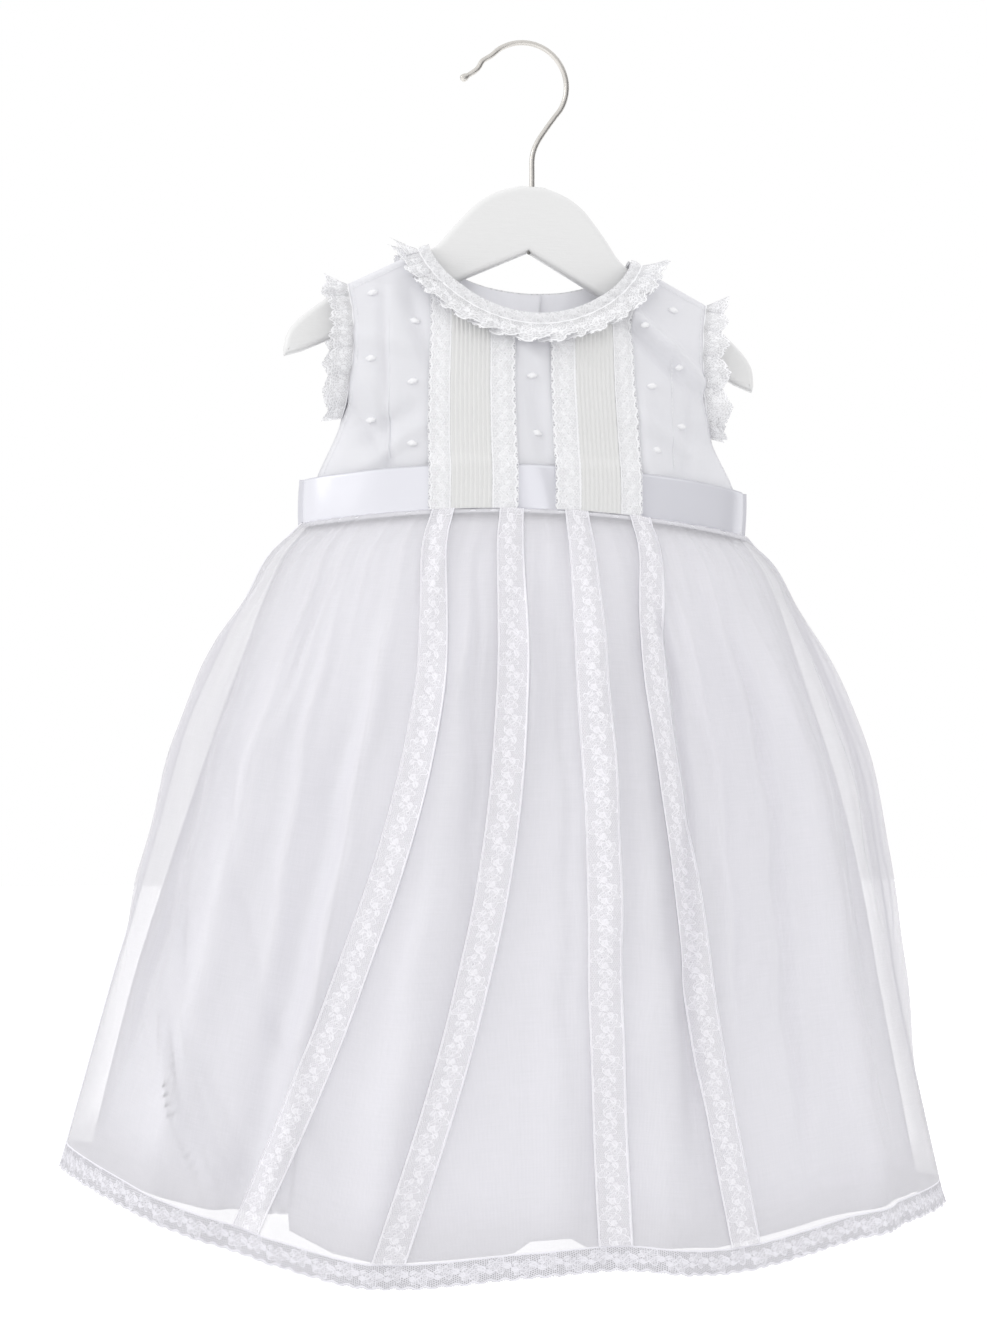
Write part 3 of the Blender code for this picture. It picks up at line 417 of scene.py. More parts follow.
# Soft creases of the bodice, from place to place in the dress's own frame
BODICE_CREASES = {
    FRONT: (
        Crease(0.0560, -0.0290, 0.0850, -0.0560, 0.0034, 0.0014),
        Crease(0.0830, -0.0540, 0.1040, -0.0750, 0.0034, 0.0013),
        Crease(0.0530, -0.0370, 0.0980, -0.0790, 0.0050, -0.0012),
        Crease(0.0660, -0.0860, 0.0700, -0.1300, 0.0060, 0.0009),
        Crease(0.0980, -0.0860, 0.0900, -0.1320, 0.0040, -0.0008),
        Crease(-0.0990, -0.0780, -0.0780, -0.1080, 0.0070, 0.0012),
        Crease(-0.1060, -0.0960, -0.0860, -0.1340, 0.0050, -0.0009),
        Crease(-0.0730, -0.0280, -0.0610, -0.0700, 0.0060, -0.0009),
        Crease(-0.0880, -0.0340, -0.0860, -0.1300, 0.0030, -0.0007),
        Crease(0.0000, -0.0820, 0.0060, -0.1220, 0.0060, -0.0010),
        Crease(-0.0060, -0.0560, 0.0060, -0.0700, 0.0050, 0.0006),
        Crease(-0.1000, -0.0540, -0.0640, -0.0620, 0.0060, 0.0007),
        Crease(-0.1020, -0.1180, -0.0700, -0.0960, 0.0050, -0.0008),
        Crease(0.0640, -0.0980, 0.0980, -0.1180, 0.0050, 0.0007),
        Crease(-0.0640, -0.1060, -0.0980, -0.1300, 0.0040, 0.0006),
    ),
    BACK: (
        Crease(-0.0560, -0.0280, -0.0900, -0.0620, 0.0040, 0.0012),
        Crease(0.0600, -0.0300, 0.0930, -0.0700, 0.0040, 0.0012),
        Crease(-0.0960, -0.0820, -0.0720, -0.1240, 0.0060, -0.0011),
        Crease(0.0980, -0.0860, 0.0740, -0.1260, 0.0060, -0.0011),
        Crease(-0.0400, -0.0500, -0.0460, -0.1280, 0.0080, 0.0010),
        Crease(0.0420, -0.0560, 0.0480, -0.1300, 0.0080, 0.0010),
    ),
}
KNOTS = (
    Knot(-0.0943, -0.0281, 8),
    Knot(-0.0696, -0.0435, -14),
    Knot(-0.0952, -0.0679, 4),
    Knot(-0.0707, -0.0811, 12),
    Knot(-0.0942, -0.1042, 10),
    Knot(-0.0703, -0.1180, -8),
    Knot(-0.0004, -0.0754, 6),
    Knot(0.0029, -0.1090, -16),
    Knot(0.0863, -0.0314, -12),
    Knot(0.0678, -0.0427, 10),
    Knot(0.0720, -0.0786, 4),
    Knot(0.0748, -0.1170, -10),
    Knot(0.0898, -0.0661, 14),
    Knot(0.0913, -0.1016, -6),
)

# Right half of the hanger, out from its middle and down from its top
HANGER_THICK = 0.010
HANGER_ROUND = 0.0034
HANGER_UPPER = (
    (0.0072, 0.0000),
    (0.0205, 0.0045),
    (0.0290, 0.0096),
    (0.0345, 0.0144),
    (0.0453, 0.0270),
    (0.0586, 0.0429),
    (0.0846, 0.0562),
    (0.1088, 0.0698),
    (0.1230, 0.0800),
    (0.1350, 0.0905),
    (0.1408, 0.0990),
    (0.1426, 0.1090),
)
HANGER_LOWER = (
    (0.1420, 0.1131),
    (0.1315, 0.1094),
    (0.1227, 0.1050),
    (0.0800, 0.0820),
    (0.0375, 0.0590),
)
HANGER_NOTCH_DROP = 0.0400
WIRE_RADIUS = 0.0016
CROWN_CENTRE = (0.0021, -0.0248)
CROWN_RADIUS = 0.0264
CROWN_START = math.radians(-44)
CROWN_END = math.radians(137)
HOOK_SHANK = (
    (0.0076, -0.0925),
    (0.0076, -0.0780),
    (0.0079, -0.0664),
    (0.0106, -0.0586),
    (0.0160, -0.0502),
)
# Across, up and share of the wire's radius
HOOK_TIP = (
    (-0.0223, -0.0100, 1.0),
    (-0.0249, -0.0142, 1.0),
    (-0.0276, -0.0166, 1.0),
    (-0.0312, -0.0189, 1.0),
    (-0.0322, -0.0195, 1.35),
    (-0.0341, -0.0207, 1.45),
    (-0.0354, -0.0216, 1.10),
)
HOOK_BALL_END = 0.0011
HOOK_END_OUT = 0.0046
# Up from the notch and share of the wire's radius
HOOK_END = (
    (0.0010, 0.30),
    (0.0000, 0.60),
    (-0.0007, 0.60),
    (-0.0012, 0.40),
    (-0.0014, 0.02),
)

# Camera, from the photo's framing: level, a little to the left of the dress
CAMERA_TARGET = Vector((-0.0157, 0.0, -0.3746))
CAMERA_TURN = math.radians(7)
CAMERA_AWAY = 1.8
CAMERA_LENS = 80.72
CAMERA_SENSOR = 36.0

# Floor, dark card and lamps
FLOOR_HALF = 9.0
FLOOR_HEIGHT = -1.15
CARD_NEAR = (0.62, -1.75)
CARD_FAR = (1.85, 0.30)
CARD_FOOT = -1.1
CARD_HEAD = 0.7
LAMP_TARGET = (0.0, 0.0, -0.4)
LAMP_SIZE = 1.2
KEY_PLACE = (-2.5, -0.8, 0.9)
FILL_PLACE = (1.7, -1.3, 0.1)
NECK_LAMP_PLACE = (0.006, 0.0065, -0.168)
NECK_LAMP_TARGET = (0.006, 0.1, -0.168)
NECK_LAMP_SIZE = 0.08


def size_property(name, description, default):
    return FloatProperty(name=name, description=description, default=default, unit="LENGTH")


def power_property(name, description, default):
    return FloatProperty(name=name, description=description, default=default, unit="POWER")


def share_property(name, description, default):
    return FloatProperty(name=name, description=description, default=default, subtype="FACTOR")


def colour_property(name, description, default):
    return FloatVectorProperty(
        name=name, description=description, default=default, subtype="COLOR", min=0.0, max=1.0
    )


class DressSizes(bpy.types.PropertyGroup):
    """Sizes of the sewn and woven detail."""

    cloth_thick: size_property("Cloth thickness", "Thickness of the cotton", 0.0004)
    tuck_height: size_property("Tuck height", "Height of the narrow tucks on the front", 0.0006)
    gather_depth: size_property("Gather depth", "Depth of the creases below the waist", 0.0012)
    knot_length: size_property("Knot length", "Length of an embroidered knot", 0.0060)
    stitch_length: size_property("Stitch length", "Length of one machine stitch", 0.0019)
    net_pitch: size_property("Net pitch", "Distance between the holes of the lace's net", 0.0015)
    organza_cover: share_property("Organza cover", "Share of the organza that is thread", 0.44)


class DressColours(bpy.types.PropertyGroup):
    """Colours of the cloth, the hanger and the buttons."""

    edging: colour_property("Hem lace", "Threads of the lace round the hem", (0.84, 0.83, 0.885))
    cotton: colour_property("Cotton", "Bodice", (0.81, 0.81, 0.845))
    # The lining's white is lighter than the bodice cotton: painted light, making up for the light that
    # the organza keeps off it.
    lining: colour_property("Lining", "Under-skirt", (0.945, 0.94, 0.978))
    tucks: colour_property("Tucks", "Tucked panels", (0.795, 0.795, 0.79))
    organza: colour_property("Organza", "Outer skirt", (0.94, 0.93, 0.972))
    lace: colour_property("Lace", "Lace thread", (0.905, 0.905, 0.925))
    satin: colour_property("Satin", "Sash", (0.775, 0.775, 0.83))
    paint: colour_property("Paint", "Hanger", (0.80, 0.80, 0.80))
    nickel: colour_property("Nickel", "Hook", (0.62, 0.60, 0.57))
    pearl: colour_property("Pearl", "Buttons", (0.85, 0.84, 0.82))


class StudioLight(bpy.types.PropertyGroup):
    """Strengths of the soft studio light."""

    surround: share_property("Surround", "Light that comes from all round", 0.965)
    key: power_property("Key", "Soft light from the upper left", 12.5)
    fill: power_property("Fill", "Weaker light from the right", 3.2)
    through: power_property("Through", "Light that comes through the cloth into the neck", 0.0072)


def mix(low, high, share):
    return low + (high - low) * share


def ease(start, end, at):
    share = np.clip((at - start) / (end - start), 0.0, 1.0)
    return share * share * (3 - 2 * share)


def smooth(rows, at, column=1):
    """Read a column of a table anywhere, on a smooth curve through its rows."""
    keys = np.array([row[0] for row in rows], float)
    values = np.array([row[column] for row in rows], float)
    at = np.clip(np.asarray(at, float), keys[0], keys[-1])
    slopes = np.empty_like(values)
    slopes[1:-1] = (values[2:] - values[:-2]) / (keys[2:] - keys[:-2])
    slopes[0] = (values[1] - values[0]) / (keys[1] - keys[0])
    slopes[-1] = (values[-1] - values[-2]) / (keys[-1] - keys[-2])
    low = np.clip(np.searchsorted(keys, at, side="right") - 1, 0, len(keys) - 2)
    span = keys[low + 1] - keys[low]
    share = (at - keys[low]) / span
    square, cube = share**2, share**3
    return (
        values[low] * (2 * cube - 3 * square + 1)
        + slopes[low] * span * (cube - 2 * square + share)
        + values[low + 1] * (3 * square - 2 * cube)
        + slopes[low + 1] * span * (cube - square)
    )


def straight(rows, at):
    """Read a table on straight lines between its rows."""
    return np.interp(at, [row[0] for row in rows], [row[1] for row in rows])


def unit(vectors):
    return vectors / np.linalg.norm(vectors, axis=-1, keepdims=True)


def run_lengths(points):
    """Distance of each point from the first, along the run of points."""
    return np.concatenate([[0], np.cumsum(np.linalg.norm(np.diff(points, axis=0), axis=1))])


def stacked(*parts):
    return np.stack(np.broadcast_arrays(*parts), axis=-1)


def tilt_at(x):
    return -SHOULDER_TILT * np.clip(x / NECK_HALF, -1.0, 1.0)


def top_edge(x, neck_drop):
    """Height of the neckline, or of the shoulder seam beyond the neck."""
    reach = np.abs(x)
    curve = np.clip(1 - (reach / NECK_HALF) ** 2, 0.0, 1.0) ** NECK_CURVE
    share = np.clip((reach - NECK_HALF) / (SHOULDER_HALF - NECK_HALF), 0.0, None)
    return -neck_drop * curve - SHOULDER_DROP * share + tilt_at(x)


def shoulder_line(x):
    return top_edge(x, 0.0)


def hang_shift(z):
    return smooth(HANG_SHIFT, -z)


def waist_height(x):
    return -WAIST_DROP - WAIST_SIDE_DROP * (x / WAIST_HALF) ** 2


def lap_at(x):
    """Lift of the upper back edge where the two backs cross."""
    return LAP_LIFT * (1 - ease(0.012, 0.026, np.abs(x)))


def side_width(z):
    return smooth(BODICE_WIDTHS, -z)


def bodice_depth(x, z):
    """How far the bodice stands off the plane of its side seams."""
    across = np.clip(np.abs(x) / side_width(z), 0.0, 1.0)
    tip = -SHOULDER_DROP + tilt_at(np.copysign(SHOULDER_HALF, x))
    edge = straight(ARMHOLE_GAPE, tip - z)
    core = edge + (smooth(BODICE_DEPTHS, -z) - edge) * np.sqrt(1 - across**2)
    fall = straight(SHOULDER_FALL, shoulder_line(x) - z)
    least = (np.maximum(core, SEAM_HALF) ** -5 + fall**-5) ** -0.2
    return mix(core, least, ease(0.72, 1.0, np.abs(x) / NECK_HALF))


def sash_depth(x, z):
    across = np.clip(np.abs(x - SASH_SHIFT) / SASH_HALF, 0.0, 1.0)
    depth = smooth(BODICE_DEPTHS, -z) + SASH_ROOM
    return SEAM_HALF + (depth - SEAM_HALF) * np.sqrt(1 - across**2)


def off_surface(depth, x, z, side, out):
    """Points on a depth surface, moved out along its normal."""
    x, z, out = np.broadcast_arrays(*(np.asarray(v, float) for v in (x, z, out)))
    step = 0.0004
    inward = -np.copysign(step, x)
    here = depth(x, z)
    slope_x = (depth(x + inward, z) - here) / inward
    slope_z = (here - depth(x, z - step)) / step
    normal = unit(stacked(-slope_x, float(side), -slope_z))
    return stacked(x + hang_shift(z), side * here, z) + normal * out[..., None]


def bodice_point(x, z, side, out=0.0):
    return off_surface(bodice_depth, x, z, side, out)


def column_x(top_x, z):
    """Where a bodice column lies at a height: strips widen a little to the waist."""
    spread = 1 + 0.05 * ease(0.03, WAIST_DROP, -z)
    share = (np.abs(top_x) - NECK_HALF) / (SHOULDER_HALF - NECK_HALF)
    outer = mix(NECK_HALF * spread, side_width(z), share)
    return np.where(share <= 0, top_x * spread, np.copysign(outer, top_x))


def row_height(rise, top_x, neck_drop):
    """Height at a share of the way up a column, close below the edge at the top."""
    foot = waist_height(column_x(top_x, np.full_like(top_x, -WAIST_DROP))) + WAIST_ROOM
    return mix(foot, top_edge(top_x, neck_drop), rise)


def rises(count):
    """Shares of the way up, closer together towards the top edge."""
    return 1 - (1 - np.linspace(0, 1, count)) ** 1.7


def crease_relief(creases, x, z):
    """Height of soft creases at a place of the bodice."""
    total = np.zeros(np.broadcast(x, z).shape)
    for crease in creases:
        run = np.array([crease.end_x - crease.x, crease.end_z - crease.z])
        length = np.hypot(*run)
        along = ((x - crease.x) * run[0] + (z - crease.z) * run[1]) / length**2
        aside = ((x - crease.x) * run[1] - (z - crease.z) * run[0]) / length
        fade = ease(-0.35, 0.25, along) * (1 - ease(0.75, 1.35, along))
        total += crease.depth * np.exp(-((aside / crease.spread) ** 2)) * fade
    return total * CREASE_SCALE


def skirt_base(turn, fall, side, rings, hem):
    """Points of an unfolded skirt: turn goes across, fall from the waist to the hem."""
    angle = np.pi * turn
    drop = mix(rings[0].drop, rings[-1].drop, fall)
    across = -np.cos(angle)
    x = smooth(rings, drop, 1) * across
    y = side * (SEAM_HALF * 1.6 + smooth(rings, drop, 2) * np.sin(angle))
    waist = waist_height(across * WAIST_HALF) - WAIST_ROOM
    z = mix(waist, -hem(across), fall)
    return stacked(x + hang_shift(z), y, z)


def skirt_normal(turn, fall, side, rings, hem):
    step = 0.004
    near, far = np.maximum(turn - step, 0.0), np.minimum(turn + step, 1.0)
    up, down = np.maximum(fall - step, 0.0), np.minimum(fall + step, 1.0)
    across = skirt_base(far, fall, side, rings, hem) - skirt_base(near, fall, side, rings, hem)
    below = skirt_base(turn, down, side, rings, hem) - skirt_base(turn, up, side, rings, hem)
    return unit(np.cross(across, below)) * side


def fold_relief(folds, turn, fall):
    """Sum of long folds at a place on the skirt, outward from its base."""
    total = np.zeros(np.broadcast(turn, fall).shape)
    for fold in folds:
        sway = 0.0022 * np.sin(34 * fall + 50 * fold.turn)
        across = (turn - fold.turn - fold.lean * fall - sway) / fold.spread
        along = ease(fold.start, fold.start + 0.2, fall)
        along = along * (1 - ease(fold.finish - 0.25, fold.finish, fall))
        total += fold.depth * np.exp(-across * across) * along
    return total


def gathers(side, depth):
    """Short creases below the waist, uneven in place, length and depth."""
    rng = np.random.default_rng(GATHER_SEEDS[side])
    folds = []
    for i in range(GATHERS_PER_SIDE):
        turn = (i + 0.5 + rng.uniform(-0.3, 0.3)) / GATHERS_PER_SIDE
        height = depth * rng.uniform(0.5, 1.3) * (1 if i % 2 else -1)
        spread = rng.uniform(0.004, 0.008)
        reach = rng.uniform(0.28, 0.75) if rng.uniform() < 0.35 else rng.uniform(0.2, 0.34)
        folds.append(Fold(turn, spread, height, -0.17, reach, rng.uniform(-0.02, 0.02)))
    return folds


def pleat_relief(pleats, turn, fall):
    """Bands of cloth folded back below their neighbours, with crisp edges."""
    total = np.zeros(np.broadcast(turn, fall).shape)
    for pleat in pleats:
        down = (fall - pleat.near_fall) / (pleat.far_fall - pleat.near_fall)
        inside = turn - mix(pleat.near_turn, pleat.far_turn, down)
        band = ease(-0.002, 0.003, inside) * (1 - ease(-0.012, 0.004, inside - pleat.width))
        ridge = 0.35 * np.exp(-(((inside + 0.006) / 0.006) ** 2))
        total += pleat.depth * (ridge - band) * ease(-0.9, 0.3, down)
    return total


def organza_hem(side):
    return lambda across: smooth(HEMS[side], across) - HEM_LACE_WIDTH


def lining_hem(side):
    return lambda across: straight(LINING_HEMS[side], across)


def organza_point(turn, fall, side, out=0.0):
    """The gathered and folded outer skirt."""
    hem = organza_hem(side)
    base = skirt_base(turn, fall, side, ORGANZA_RINGS, hem)
    normal = skirt_normal(turn, fall, side, ORGANZA_RINGS, hem)
    creases = gathers(side, bpy.context.scene.dress_sizes.gather_depth)
    relief = fold_relief(SKIRT_FOLDS[side], turn, fall) * FOLD_SCALE
    relief += fold_relief(creases, turn, fall) * (0.4 + 0.6 * ease(0.0, 0.04, fall))
    relief *= ease(0.0, 0.03, np.minimum(turn, 1 - turn))
    seam = 1 - ease(0.0, 0.014, fall)
    base[..., 2] += WAIST_RISE * seam
    return base + normal * (relief + WAIST_OUT * seam + out)[..., None]


def lining_point(turn, fall, side, out=0.0):
    """The plain under-skirt: it follows the outer folds and has softer ones of its own."""
    base = skirt_base(turn, fall, side, LINING_RINGS, lining_hem(side))
    normal = skirt_normal(turn, fall, side, LINING_RINGS, lambda across: smooth(HEMS[side], across))
    drop = mix(LINING_RINGS[0].drop, LINING_RINGS[-1].drop, fall)
    reach = smooth(LINING_RINGS, drop, 1) / smooth(ORGANZA_RINGS, drop, 1)
    above = np.arccos(np.cos(np.pi * turn) * np.minimum(reach, 1.0)) / np.pi
    relief = fold_relief(SKIRT_FOLDS[side], above, fall * 0.97) * FOLD_SCALE * LINING_FOLLOWS
    relief += fold_relief(LINING_FOLDS[side], turn, fall) * LINING_OWN_FOLDS - LINING_INSIDE
    relief += pleat_relief(PLEATS[side], turn, fall)
    relief *= ease(0.03, 0.13, np.minimum(turn, 1 - turn))
    return base + normal * (relief + out)[..., None]


def grid(rows, columns):
    """Row and column values spread over a whole grid."""
    return np.meshgrid(np.asarray(rows, float), np.asarray(columns, float), indexing="ij")


def moved(points, place):
    matrix = np.array(place)
    return points @ matrix[:3, :3].T + matrix[:3, 3]


def sheet_mesh(name, points, cloth, ring=False):
    """A mesh over a grid of points; cloth holds the flat place of each, in metres."""
    rows, columns = points.shape[:2]
    wrap = columns if ring else columns - 1
    row, column = np.meshgrid(np.arange(rows - 1), np.arange(wrap), indexing="ij")
    row, column = row.ravel(), column.ravel()
    corners = [(row, column), (row, column + 1), (row + 1, column + 1), (row + 1, column)]
    faces = np.stack([r * columns + c % columns for r, c in corners], axis=-1)
    mesh = bpy.data.meshes.new(name)
    mesh.from_pydata(points.reshape(-1, 3).tolist(), [], faces.tolist())
    layer = mesh.uv_layers.new(name="cloth")
    flat = np.stack([cloth[r, c] for r, c in corners], axis=1)
    layer.data.foreach_set("uv", flat.ravel())
    mesh.shade_smooth()
    return mesh


def settle(name, mesh, finish, nodes=(), thick=0.0):
    """Make a piece of a mesh, with its finish, its ride and the nodes that it stands for."""
    thing = bpy.data.objects.new(name, mesh)
    if thick:
        shell = thing.modifiers.new("cloth_thickness", "SOLIDIFY")
        shell.thickness = thick
        shell.offset = 0.0
    mesh.materials.append(finish_of(finish))
    bpy.context.scene.collection.objects.link(thing)
    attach(thing, "root")
    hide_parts(*nodes)
    return thing


def add_cloth(name, points, cloth, finish, nodes, thick=0.0, ring=False):
    """One piece of cloth, drawn in the dress's frame."""
    mesh = sheet_mesh(name, moved(points, DRESS_PLACE), cloth, ring)
    return settle(name, mesh, finish, nodes, thick)


def tube_mesh(name, path, radii, sides=8, closed=False):
    """A round tube along a path, with flat lengths along and round it."""
    ahead = np.roll(path, -1, axis=0) - np.roll(path, 1, axis=0)
    if not closed:
        ahead[0] = path[1] - path[0]
        ahead[-1] = path[-1] - path[-2]
    ahead = unit(ahead)
    normal = unit(np.cross(ahead[0], (0.0, 1.0, 0.0001)))
    normals = []
    for direction in ahead:
        normal = unit(normal - direction * np.dot(normal, direction))
        normals.append(normal)
    normals = np.array(normals)
    across = np.cross(ahead, normals)
    angle = np.linspace(0, 2 * np.pi, sides, endpoint=False)
    ring = normals[:, None] * np.cos(angle)[:, None] + across[:, None] * np.sin(angle)[:, None]
    radii = np.broadcast_to(radii, len(path))
    points = path[:, None] + ring * radii[:, None, None]
    if closed:
        points = np.concatenate([points, points[:1]])
    around = np.linspace(0, 2 * np.pi * float(np.mean(radii)), sides + 1)
    return sheet_mesh(name, points, stacked(*grid(run_lengths(points[:, 0]), around)), ring=True)


def add_tube(name, path, radii, sides, finish, nodes=(), closed=False):
    """One tube or sewn line, drawn in the dress's frame."""
    settle(name, tube_mesh(name, moved(path, DRESS_PLACE), radii, sides, closed), finish, nodes)


def add_threads(name, shapes):
    """Many small closed shapes of thread as one piece; each is its points and faces."""
    points, faces, start = [], [], 0
    for shape_points, shape_faces in shapes:
        points.extend(shape_points)
        faces.extend([[start + i for i in face] for face in shape_faces])
        start += len(shape_points)
    mesh = bpy.data.meshes.new(name)
    mesh.from_pydata([tuple(p) for p in points], [], faces)
    mesh.shade_smooth()
    mesh.transform(DRESS_PLACE)
    settle(name, mesh, "thread")


def spindle(centre, along, up, length, width, height, twists=0.0, rings=9, sides=8):
    """A twisted knot or a stitch: round in section, pointed at both ends."""
    side = np.cross(up, along)
    points = []
    for share in np.linspace(0.0, 1.0, rings):
        swell = math.sin(math.pi * min(max(share, 0.04), 0.96)) ** 0.55
        for k in range(sides):
            turn = 2 * math.pi * k / sides
            ridge = 1 + 0.13 * math.cos(3 * turn + twists * 2 * math.pi * share)
            offset = side * math.cos(turn) * width / 2 + up * math.sin(turn) * height / 2
            points.append(centre + along * (share - 0.5) * length + offset * swell * ridge)
    faces = []
    for i in range(rings - 1):
        for k in range(sides):
            a, b = i * sides + k, i * sides + (k + 1) % sides
            faces.append([a, b, b + sides, a + sides])
    faces.append(list(range(sides))[::-1])
    faces.append([(rings - 1) * sides + k for k in range(sides)])
    return points, faces


def stitch_row(path, outward, pitch, length):
    """Machine stitches along a path, each sunk at its ends."""
    lengths = run_lengths(path)

    def read(table, at):
        return np.array([np.interp(at, lengths, table[:, k]) for k in range(3)])

    shapes = []
    for at in np.arange(pitch / 2, lengths[-1], pitch):
        start, end = read(path, at - length / 2), read(path, at + length / 2)
        up, along = unit(read(outward, at)), unit(end - start)
        sizes = (length, STITCH_WIDTH, STITCH_HEIGHT)
        shapes.append(spindle((start + end) / 2, along, up, *sizes, rings=4, sides=5))
    return shapes


def number_maths(operation):
    return lambda self, *others: self.maths(operation, *others)


class Value:
    """A number socket that takes part in Python sums."""

    def __init__(self, tree, socket):
        self.tree = tree
        self.socket = socket

    def maths(self, operation, *others):
        inputs = dict(enumerate((self, *others)))
        node = self.tree.node("ShaderNodeMath", {"operation": operation}, inputs)
        return Value(self.tree, node.outputs[0])

    __add__ = __radd__ = number_maths("ADD")
    __sub__ = number_maths("SUBTRACT")
    __mul__ = __rmul__ = number_maths("MULTIPLY")
    __truediv__ = number_maths("DIVIDE")
    size = number_maths("ABSOLUTE")
    root = number_maths("SQRT")
    cosine = number_maths("COSINE")
    sine = number_maths("SINE")
    angle = number_maths("ARCTAN2")
    greater = number_maths("MAXIMUM")
    lesser = number_maths("MINIMUM")
    fraction = number_maths("FRACT")

    def __rsub__(self, other):
        return self * -1.0 + other

    def step(self, start, end):
        """0 before start and 1 after end, with a soft way between."""
        settings = {"interpolation_type": "SMOOTHSTEP"}
        inputs = {"Value": self, "From Min": start, "From Max": end}
        node = self.tree.node("ShaderNodeMapRange", settings, inputs)
        return Value(self.tree, node.outputs["Result"])


class Nodes:
    """An empty node tree, and the one way to add nodes to it."""

    def __init__(self, tree):
        self.tree = tree
        self.tree.nodes.clear()

    def node(self, kind, settings=(), inputs=()):
        node = self.tree.nodes.new(kind)
        for name, value in dict(settings).items():
            setattr(node, name, value)
        for key, value in dict(inputs).items():
            self.feed(node.inputs[key], value)
        return node

    def feed(self, socket, value):
        if isinstance(value, Value):
            value = value.socket
        if isinstance(value, bpy.types.NodeSocket):
            self.tree.links.new(value, socket)
        else:
            socket.default_value = value

    def value(self, node, output=0):
        return Value(self, node.outputs[output])


class Finish(Nodes):
    """A material: one Principled shader and the nodes that feed it."""

    def __init__(self, name, roughness, **constants):
        self.material = bpy.data.materials.new(name)
        self.material.use_nodes = True
        super().__init__(self.material.node_tree)
        self.shader = self.node("ShaderNodeBsdfPrincipled", {}, {"Roughness": roughness})
        for socket, value in constants.items():
            self.shader.inputs[socket.replace("_", " ")].default_value = value
        self.node("ShaderNodeOutputMaterial", {}, {"Surface": self.shader.outputs[0]})

    def cloth(self):
        """Flat place on the cloth: along and across, in metres."""
        where = self.node("ShaderNodeUVMap", {"uv_map": "cloth"})
        parts = self.node("ShaderNodeSeparateXYZ", {}, {0: where.outputs[0]})
        return self.value(parts, "X"), self.value(parts, "Y")

    def place(self):
        """Place in the piece's own axes, in metres."""
        return self.node("ShaderNodeTexCoord").outputs["Object"]

    def spot(self, along, across):
        return self.node("ShaderNodeCombineXYZ", {}, {"X": along, "Y": across}).outputs[0]

    def noise(self, vector, scale, detail=3.0):
        inputs = {"Vector": vector, "Scale": scale, "Detail": detail, "Roughness": 0.55}
        return self.value(self.node("ShaderNodeTexNoise", {}, inputs), "Fac")

    def tint(self, low, high, share):
        """A colour between two, by a share that changes over the surface."""
        inputs = {0: share, 6: (*low, 1.0), 7: (*high, 1.0)}
        return self.node("ShaderNodeMix", {"data_type": "RGBA"}, inputs).outputs[2]

    def colour(self, low, high, share):
        self.feed(self.shader.inputs["Base Color"], self.tint(low, high, share))

    def relief(self, height, depth):
        """Bump from a height of 0 to 1, depth metres deep."""
        inputs = {"Height": height, "Distance": depth, "Strength": 1.0}
        bump = self.node("ShaderNodeBump", {}, inputs)
        self.feed(self.shader.inputs["Normal"], bump.outputs[0])


def shade(colour, share):
    return tuple(min(1.0, part * share) for part in colour)


def weave(along, across, pitch):
    """Crossed threads: 1 on top of a thread and 0 between threads."""
    turn = 2 * math.pi / pitch
    warp = (along * turn).cosine() * 0.5 + 0.5
    weft = (across * turn).cosine() * 0.5 + 0.5
    return warp.greater(weft)


def slubs(finish, along, across, scale):
    """Uneven thickness of the threads, in long faint streaks both ways."""
    one = finish.noise(finish.spot(along * 0.04, across), scale)
    other = finish.noise(finish.spot(along, across * 0.04), scale)
    return (one + other) * 0.5


def cotton_finish(name, colour):
    """Fine plain cotton."""
    finish = Finish(name, 0.85, Sheen_Weight=0.15, Sheen_Roughness=0.5)
    along, across = finish.cloth()
    streaks = slubs(finish, along, across, 900.0)
    threads = weave(along, across, 0.0005)
    finish.colour(shade(colour, 0.97), shade(colour, 1.015), streaks * 0.7 + threads * 0.3)
    soft = finish.noise(finish.spot(along, across), 60.0)
    finish.relief(threads * 0.3 + streaks * 0.3 + soft * 0.9, 0.00035)
    return finish.material


def organza_finish(name, colour):
    """Sheer crisp organza: more or less see-through with the thickness of its threads, with painted shade
    darkening its side edges and foot.
    """
    finish = Finish(name, 0.5, Sheen_Weight=0.25, Sheen_Roughness=0.35)
    cover = bpy.context.scene.dress_sizes.organza_cover
    along, across = finish.cloth()
    streaks = slubs(finish, along, across, 1500.0)
    threads = weave(along, across, 0.0006)
    haze = finish.noise(finish.spot(along, across), 18.0)
    alpha = streaks * 0.08 + threads * 0.08 + haze * 0.06 + (cover - 0.12)
    sides = 1 - across.lesser(ORGANZA_WIDE - across).step(0.01, 0.07)
    foot = along.step(ORGANZA_LONG * 0.93, ORGANZA_LONG * 0.98)
    # Painted shade: the colour darkens along the side edges and at the foot; the thread streaks vary it a
    # little.
    light = (streaks * 0.1 + 0.9) * (1 - sides.greater(foot) * 0.7)
    finish.colour(shade(colour, 0.78), shade(colour, 1.02), light)
    alpha = alpha + sides * 0.28 + foot * (1 - sides) * 0.24
    finish.feed(finish.shader.inputs["Alpha"], alpha)
    finish.relief(threads * 0.5 + streaks * 0.3, 0.00015)
    return finish.material


def nearest(along, across, at, height, spacing):
    """Distance and angle from the nearest of a row of centres."""
    x = (((along - at) / spacing + 0.5).fraction() - 0.5) * spacing
    y = across - height
    return (x * x + y * y).root(), y.angle(x)


